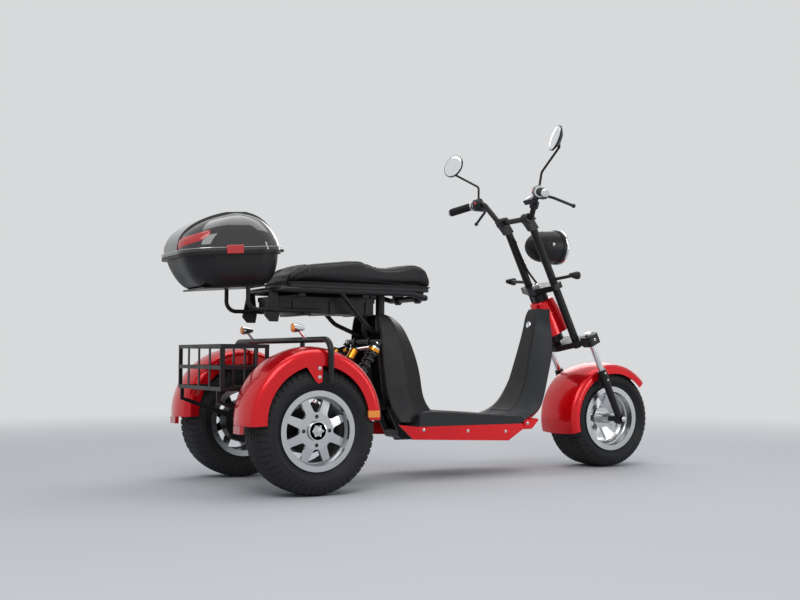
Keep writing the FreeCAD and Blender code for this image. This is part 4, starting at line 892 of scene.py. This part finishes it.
NECK_OFFSET = -60
NECK_CORNER = 38
NECK_ROWS = [
    # height on the steering axis, reach behind it, reach ahead of it, half width
    (600, 62, 58, 58),
    (650, 60, 58, 57),
    (700, 56, 54, 54),
    (738, 50, 49, 49),
    (742, 46, 45, 45),
]
CHIN_OUTLINE = ((1057, 192), (1060, 189), (1094, 189), (1099, 191), (1134, 226), (1128, 232), (1057, 232))
CHIN_MIDDLE = (1100, 214)
CHIN_ROWS = ((-184, 0.9), (-180, 1.0), (180, 1.0), (184, 0.9))


def red_neck_and_chin():
    """The red covers round the steering head and under the cowl."""
    neck = Pile()
    rings = []
    for height, back, front, half in NECK_ROWS:
        middle = on_fork(NECK_OFFSET, height)
        rings.append([at(*(middle + AHEAD * ahead + Vector((0, across, 0))))
                      for ahead, across in rounded(back, front, half, NECK_CORNER)])
    neck.rings(rings)
    neck.show("neck_cover", "candy_red", "chassis")
    chin = Pile()
    middle_x, middle_z = CHIN_MIDDLE
    rings = []
    for y, scale in CHIN_ROWS:
        rings.append([at(middle_x + (x - middle_x) * scale, y, middle_z + (z - middle_z) * scale)
                      for x, z in CHIN_OUTLINE])
    chin.rings(rings)
    chin.show("chin_cover", "candy_red", "chassis")


red_neck_and_chin()


# Top box: tail lens, latches and a bright strip along the seam's rim, a painted highlight

LID_ROWS = [
    # height above the seam, reach behind the hinge, half width, corner radius
    (0.3, 398, 190, 108),
    (45, 390, 186, 110),
    (80, 366, 174, 112),
    (112, 318, 150, 100),
]
LENS_REACH = 205
LENS_STEPS = 30
LENS_LOW = 8
LENS_LOW_RISE = 36
LENS_HIGH = 60
LENS_HIGH_RISE = 22
LENS_TAPER = 9
LENS_TIP = 0.12
LENS_PROUD = 4.5
LENS_EDGE = 0.2
LENS_SUNK = 3
LATCH_X = (-257, -193)
LATCH_Z = (-12, 19)
LATCH_HALF = 197
LATCH_ROWS = ((-8, 0), (2.5, 0), (4.0, 1.5), (4.4, 4))
SEAM_MIDDLE = -207
SEAM_REACH = 198.5
SEAM_HALF = 197.5
SEAM_CORNER = 110
SEAM_HEIGHT = 11.5
SEAM_RADIUS = 1.4


def lid_spot(share, height, proud):
    """A spot on the lid's rear: share runs from -1 to 1 round the corners, height above the seam."""
    for low, high in zip(LID_ROWS, LID_ROWS[1:]):
        if height <= high[0]:
            break
    mix = (height - low[0]) / (high[0] - low[0])
    back, half, corner = [a + (b - a) * mix for a, b in zip(low[1:], high[1:])]
    run = abs(share) * LENS_REACH
    side = 1 if share >= 0 else -1
    straight = half - corner
    if run <= straight:
        return in_box(-back - proud, run * side, height)
    turn = (run - straight) / corner
    return in_box(-back + corner - (corner + proud) * math.cos(turn),
                  side * (straight + (corner + proud) * math.sin(turn)), height)


def tail_lens():
    """The red lens across the lid's rear, which rises and narrows towards both corners."""
    rings = []
    for step in range(2 * LENS_STEPS + 1):
        share = -1 + step / LENS_STEPS
        low = LENS_LOW + LENS_LOW_RISE * share ** 2
        high = LENS_HIGH + LENS_HIGH_RISE * share ** 2
        narrow = min(1.0, (1 - abs(share)) * LENS_TAPER + LENS_TIP)
        middle = (low + high) / 2
        reach = (high - low) / 2 * math.sqrt(narrow)
        ring = []
        for row in range(9):
            t = -1 + row / 4
            ring.append(lid_spot(share, middle + reach * t, LENS_PROUD * narrow * (1 - t ** 4) + LENS_EDGE))
        for t in (0.8, -0.8):
            ring.append(lid_spot(share, middle + reach * t, -LENS_SUNK))
        rings.append(ring)
    lens = Pile()
    lens.rings(rings)
    lens.show("box_tail_lens", "red_lens", "box_lid")


def box_trim():
    """The tail lens, a red latch on each side and an alloy strip along the seam's rim, whose brightness is a
    painted highlight.
    """
    tail_lens()
    # The latches wear the red lens finish, whose faint glow on them is painted light: they are no lamp.
    latch = Pile()
    for _, side in SIDES:
        rings = []
        for proud, inset in LATCH_ROWS:
            back, front = LATCH_X[0] + inset, LATCH_X[1] - inset
            low, high = LATCH_Z[0] + inset, LATCH_Z[1] - inset
            rings.append([in_box(x, (LATCH_HALF + proud) * side, z)
                          for x, z in ((back, low), (front, low), (front, high), (back, high))])
        latch.rings(rings)
    latch.show("box_side_latches", "red_lens", "box_lid")
    # The seam's rim is real, but the strip's bright alloy colour along it is a painted highlight.
    seam = Pile()
    line = [in_box(SEAM_MIDDLE + ahead, across, SEAM_HEIGHT)
            for ahead, across in rounded(SEAM_REACH, SEAM_REACH, SEAM_HALF, SEAM_CORNER, 14)]
    seam.tube(line + line[:1], SEAM_RADIUS, 8, 1)
    seam.show("box_seam_highlight_line", "alloy", "box_lid")


box_trim()


# Handlebar: grips, switches, mirrors and display, with profiles as (along, radius) pairs

GRIP_END = (1040, 352, 1156)
GRIP_WAY = (0.4317, -0.8813, 0.1918)
GRIP_LENGTH = 112
GRIP_CAP = [(5, 17.4), (9, 17.4), (13, 15), (15, 10), (15, 7), (10, 6.5), (10, 0.5)]
GRIP_FLANGE = [(-5, 18), (-4, 22.6), (0, 23.4), (3, 22.4), (4, 18)]
GRIP_RIBS = 14
GRIP_RIB_START = 2
GRIP_RIB_STEP = 7.2
GRIP_RIB = [(0, 16.5), (0.6, 17.9), (3.6, 17.9), (4.2, 16.5)]
SWITCH_PLACE = 140
SWITCH_BACK = 23.5
SWITCH_CAP = [(-2, 6.5), (2, 6.5), (3.6, 5.2), (3.8, 0.5)]
BUTTON_ALONG = 13
BUTTON_BACK = 22
BUTTON_OVER = 8
BUTTON = [(-2, 4), (3, 4), (3.5, 0.5)]
BAND_PLACE = -18.5
BAND = [(0, 25), (0.6, 25.6), (2.6, 25.6), (3.2, 25)]
MIRROR = (1070, 386, 1378)
MIRROR_FACING = (-0.918, -0.281, 0.281)
MIRROR_LIFT = 4
MIRROR_FACE = [(0, 50.5), (1.0, 50.5), (1.5, 49.8), (2.3, 30), (2.6, 0.5)]
DISPLAY = (1112.6, -161.5, 1156.7)
DISPLAY_FACING = (-0.616, 0, 0.788)
DISPLAY_LIFT = 9.8
DISPLAY_SIZE = (54, 34, 1.4)


def handlebar_trim():
    """Grip caps, ribs and flanges, switches, the mirrors' glass and the display."""
    chrome, rubber, caps, glass = Pile(), Pile(), Pile(), Pile()
    for _, side in SIDES:
        run = facing_beside(GRIP_WAY, side)
        end = beside(GRIP_END, side)
        chrome.turned(end, -run, GRIP_CAP, 28)
        chrome.turned(moved(end, run, GRIP_LENGTH), run, GRIP_FLANGE, 36)
        for step in range(GRIP_RIBS):
            rubber.turned(moved(end, run, GRIP_RIB_START + GRIP_RIB_STEP * step), run, GRIP_RIB, 24)
        middle = moved(end, run, SWITCH_PLACE)
        back = (Vector((-1, 0, 0)) + run * run.x).normalized()
        over = run.cross(back) * side
        caps.turned(moved(middle, back, SWITCH_BACK), back, SWITCH_CAP, 20)
        button = moved(moved(moved(middle, run, BUTTON_ALONG), back, BUTTON_BACK), over, BUTTON_OVER)
        rubber.turned(button, back, BUTTON, 6)
        chrome.turned(moved(middle, run, BAND_PLACE), run, BAND, 36)
        facing = facing_beside(MIRROR_FACING, side)
        glass.turned(moved(beside(MIRROR, side), facing, MIRROR_LIFT), facing, MIRROR_FACE, 56)
    chrome.show("grip_rings", "chrome_steel", "steering")
    rubber.show("grip_ribs", "rubber_black", "steering")
    # The switch caps wear the red lens finish, whose faint glow on them is painted light: they are no lamp.
    caps.show("switch_caps", "red_lens", "steering")
    glass.show("mirror_faces", MIRROR_GLASS, "steering")
    facing = Vector(DISPLAY_FACING).normalized()
    screen = Pile()
    screen.plate(moved(at(*DISPLAY), facing, DISPLAY_LIFT), facing, *DISPLAY_SIZE)
    screen.show("display_screen", SCREEN, "steering")


# Bolts and caps of the steering

CLAMP_X = 1144
CLAMP_Z = 1106
CLAMP_ACROSS = (-14, 14)
CLAMP_AHEAD = (-11, 11)
RISER_SCREW = (1159.5, RISER_HALF, 1042)
LAMP_SCREW = (1298, 76.3, 985)
CROWN = (1381.8, 0, 540.2)
CROWN_AHEAD = 60
CROWN_LIFT = 22.5
CROWN_CAP = [(-1, 17), (3, 17), (4.2, 15.6), (4.2, 8), (1, 7.5), (1, 0.5)]
PINCH_HALF = 184
STEM_HEAD = (1264, 0, 787.1)
STEM_LIFT = 13
STEM_NUT = [(-1, 21), (2, 21), (2, 17), (10, 17), (12, 14.5), (12, 7), (9, 6.5), (9, 0.5)]
AXLE_NUT_HALF = 178.6
AXLE_NUT = [(-1, 12.8), (4, 12.8), (8, 9.5), (10, 4), (10.3, 0.5)]
SLIDER_BOLT_HALF = 171.5
SLIDER_BOLTS = (390, 420)


def steering_bolts():
    """The clamps' bolts, the caps over the fork legs, the stem's nut, and the axle's nuts."""
    bolts = Pile()
    for _, side in SIDES:
        for across in CLAMP_ACROSS:
            for ahead in CLAMP_AHEAD:
                bolts.bolt(at(CLAMP_X + ahead, RISER_HALF * side + across, CLAMP_Z), (0, 0, 1), 3.6)
        bolts.bolt(beside(RISER_SCREW, side), (-1, 0, 0), 4.2)
        bolts.bolt(beside(LAMP_SCREW, side), (0, side, 0), 4.6)
    crown = moved(moved(at(*CROWN), AHEAD, CROWN_AHEAD), LEAN, CROWN_LIFT)
    for _, side in SIDES:
        bolts.turned(moved(crown, Vector((0, side, 0)), LEG_HALF), LEAN, CROWN_CAP, 32)
        pinch = at(CROWN[0] + AHEAD.x * CROWN_AHEAD, PINCH_HALF * side, CROWN[2] + AHEAD.z * CROWN_AHEAD)
        bolts.bolt(pinch, (0, side, 0), 4.6)
    bolts.turned(moved(at(*STEM_HEAD), LEAN, STEM_LIFT), LEAN, STEM_NUT, 6)
    for _, side in SIDES:
        bolts.turned(at(WHEELBASE, AXLE_NUT_HALF * side, FRONT_AXLE_Z), (0, side, 0), AXLE_NUT, 28)
        for height in SLIDER_BOLTS:
            bolts.bolt(at(*on_fork(0, height, SLIDER_BOLT_HALF * side)), (0, side, 0), 3.4)
    bolts.show("steering_bolts", BOLT, "steering")


handlebar_trim()
steering_bolts()


# Lamps

LAMP = (1380, 0, 980)
LAMP_RADIUS = 74.5
LAMP_STEPS = 64
BEZEL_THICK = 4
BEZEL_DEEP = 6.5
BEZEL_COUNT = 10
INNER_RING_X = 1385.4
INNER_RING = [(-1, 27), (1.4, 26), (1.8, 24), (1.2, 21), (-1, 20)]
SIGNAL_LENS = [(0, 16), (4, 15.4), (6.5, 12), (7.6, 5), (7.7, 0.5)]
FRONT_SIGNAL = (1304.5, 232, 838)
REAR_SIGNAL = (-24.6, 250, 592)


def lamp_trim():
    """The headlamp's bezel and inner ring, and the lenses of the turn signals."""
    ring = Pile()
    lamp = at(*LAMP)
    rings = []
    for step in range(LAMP_STEPS):
        turn = 2 * math.pi * step / LAMP_STEPS
        outward = Vector((0, math.cos(turn), math.sin(turn)))
        section = []
        for number in range(BEZEL_COUNT):
            angle = 2 * math.pi * number / BEZEL_COUNT
            deep = Vector((BEZEL_DEEP * math.sin(angle), 0, 0))
            section.append(lamp + (outward * (LAMP_RADIUS + BEZEL_THICK * math.cos(angle)) + deep) / 1000)
        rings.append(section)
    ring.rings(rings, closed=True)
    ring.turned(at(INNER_RING_X, LAMP[1], LAMP[2]), (1, 0, 0), INNER_RING, 40)
    ring.show("headlight_ring", "chrome_steel", "steering")
    front, rear = Pile(), Pile()
    for _, side in SIDES:
        front.turned(beside(FRONT_SIGNAL, side), (1, 0, 0), SIGNAL_LENS, 28)
        rear.turned(beside(REAR_SIGNAL, side), (-1, 0, 0), SIGNAL_LENS, 28)
    front.show("front_signal_lenses", "amber_lens", "steering")
    rear.show("rear_signal_lenses", "amber_lens", "chassis")


lamp_trim()


# Ribbed hoses strapped to the fork

HOSE_PATH = [
    # ahead of the fork's axis, height, half width
    (-30, 1015, 69),
    (-30, 950, 68),
    (-24, 880, 68),
    (0, 815, 68),
    (2, 770, 68),
    (-6, 700, 72),
    (-12, 630, 78),
    (-16, 566, 84),
]
HOSE_STEPS = 22
HOSE_COUNT = 10
HOSE_RIB = 5.4
HOSE_GROOVE = 4.2
STRAP_HALF = 68
STRAP_SPOTS = ((-30, 1000), (-27, 900))
STRAP = [(-4, 5), (-4, 6.4), (4, 6.4), (4, 5)]


def ribbed_hoses():
    """A ribbed hose down the inner side of each fork leg, with two straps."""
    hose, straps = Pile(), Pile()
    for _, side in SIDES:
        path = [at(*on_fork(offset, height, y * side)) for offset, height, y in HOSE_PATH]
        line = smooth_line(path, HOSE_STEPS)
        rings = []
        for number, spot in enumerate(line):
            run = (line[min(number + 1, len(line) - 1)] - line[max(number - 1, 0)]).normalized()
            flat = square_to(Vector((0, 1, 0)), run)
            radius = HOSE_RIB if number % 2 else HOSE_GROOVE
            rings.append(circle(spot, flat, run.cross(flat), radius, HOSE_COUNT))
        hose.rings(rings)
        for offset, height in STRAP_SPOTS:
            straps.turned(at(*on_fork(offset, height, STRAP_HALF * side)), -LEAN, STRAP, 20)
    hose.show("ribbed_hoses", "rubber_black", "steering")
    straps.show("hose_straps", "strap_black", "steering")


ribbed_hoses()


# Frame, fenders and footboard

SKIRT_BOLTS = ((566, 201), (773, 191), (958, 184))
SKIRT_FACE = 190.3
NOSE_BOLT = (1074, 184.2, 214)
TAB_FACES = (440.6, 444.6)
TAB_OUTLINE = ((-70, 468), (4, 478), (2, 400), (-10, 393), (-22, 400))
TAB_BOLTS = ((-9, 444.8, 447), (-9, 444.8, 416))
BAND_PLACES = (40, 196, 352)
BAND_WIDTH = 22
BAND_BLOCKS = (
    # from y, to y, from z, to z
    (-99.6, -97.5, 653, 715),
    (97.5, 99.6, 653, 715),
    (-99.6, 99.6, 649.8, 652.4),
)
BOARD_START = 598
BOARD_LENGTH = 442
BOARD_Z = 273.6
BOARD_FALL = 30
BOARD_RIBS = 15
BOARD_RIB_START = 692
BOARD_RIB_STEP = 20
BOARD_RIB_WIDTH = 7
BOARD_RIB_HALF = 146
KEY_RING_SPOT = (1217, 0, 631)
KEY_SLOT_SPOT = (1214, 0, 631.6)
KEY_FACING = (-0.96, 0, 0.28)
KEY_RING = [(-8, 15), (3, 15), (5, 13.4), (5, 9.5), (2.5, 9), (2.5, 0.5)]
KEY_SLOT_SIZE = (2.2, 9, 1.2)


def body_trim():
    """Bolts, the rear fenders' tabs, the battery's straps, the footboard's ribs and the key switch."""
    bolts, ribs, tabs, ring, straps = Pile(), Pile(), Pile(), Pile(), Pile()
    for _, side in SIDES:
        for x, z in SKIRT_BOLTS:
            bolts.bolt(at(x, SKIRT_FACE * side, z), (0, side, 0), 4.2)
        bolts.bolt(beside(NOSE_BOLT, side), (0, side, 0), 4.2)
        tabs.rings([[at(x, y * side, z) for x, z in TAB_OUTLINE] for y in TAB_FACES])
        for spot in TAB_BOLTS:
            bolts.bolt(beside(spot, side), (0, side, 0), 4.4)
    for x in BAND_PLACES:
        for low_y, high_y, low_z, high_z in BAND_BLOCKS:
            straps.block(at(x, low_y, low_z), at(x + BAND_WIDTH, high_y, high_z))
    for step in range(BOARD_RIBS):
        x = BOARD_RIB_START + BOARD_RIB_STEP * step
        z = BOARD_Z - (x - BOARD_START) * BOARD_FALL / BOARD_LENGTH
        ribs.block(at(x, -BOARD_RIB_HALF, z - 1), at(x + BOARD_RIB_WIDTH, BOARD_RIB_HALF, z + 1.4))
    ring.turned(at(*KEY_RING_SPOT), KEY_FACING, KEY_RING, 36)
    ring.plate(at(*KEY_SLOT_SPOT), KEY_FACING, *KEY_SLOT_SIZE)
    bolts.show("body_bolts", BOLT, "chassis")
    tabs.show("rear_fender_tabs", "candy_red", "chassis")
    straps.show("battery_straps", "strap_black", "chassis")
    ribs.show("footboard_ribs", "rubber_black", "chassis")
    ring.show("ignition_ring", "chrome_steel", "chassis")


body_trim()


FLOOR_COLOR = (0.62, 0.625, 0.63)
FLOOR_HALF = 60
FLOOR_SHINE = 0.1
FADE_START = 1.6
FADE_END = 5.5


def floor_paint():
    """Pale paint near the object that fades, further out, into the background's own grey."""
    material = new_material("floor_paint", FLOOR_COLOR, 0.8, wear=0.05, wear_scale=2, tint=1.02)
    tree = material.node_tree
    shader = tree.nodes["Principled BSDF"]
    shader.inputs["Specular IOR Level"].default_value = FLOOR_SHINE
    out = tree.nodes["Material Output"]
    place = tree.nodes.new("ShaderNodeTexCoord")
    distance = tree.nodes.new("ShaderNodeVectorMath")
    distance.operation = "LENGTH"
    fade = tree.nodes.new("ShaderNodeMapRange")
    fade.interpolation_type = "SMOOTHSTEP"
    fade.inputs["From Min"].default_value = FADE_START
    fade.inputs["From Max"].default_value = FADE_END
    glow = tree.nodes.new("ShaderNodeEmission")
    glow.inputs["Color"].default_value = (*BACKGROUND, 1)
    glow.inputs["Strength"].default_value = BACKGROUND_STRENGTH
    mix = tree.nodes.new("ShaderNodeMixShader")
    tree.links.new(place.outputs["Object"], distance.inputs[0])
    tree.links.new(distance.outputs["Value"], fade.inputs["Value"])
    tree.links.new(fade.outputs["Result"], mix.inputs[0])
    tree.links.new(shader.outputs[0], mix.inputs[1])
    tree.links.new(glow.outputs[0], mix.inputs[2])
    tree.links.new(mix.outputs[0], out.inputs["Surface"])
    return material


def add_stage():
    """A plain pale floor."""
    mesh = bpy.data.meshes.new("floor")
    corners = [(-FLOOR_HALF, -FLOOR_HALF, 0), (FLOOR_HALF, -FLOOR_HALF, 0),
               (FLOOR_HALF, FLOOR_HALF, 0), (-FLOOR_HALF, FLOOR_HALF, 0)]
    mesh.from_pydata(corners, [], [(0, 1, 2, 3)])
    floor = bpy.data.objects.new("floor", mesh)
    scene.collection.objects.link(floor)
    mesh.materials.append(floor_paint())


add_stage()
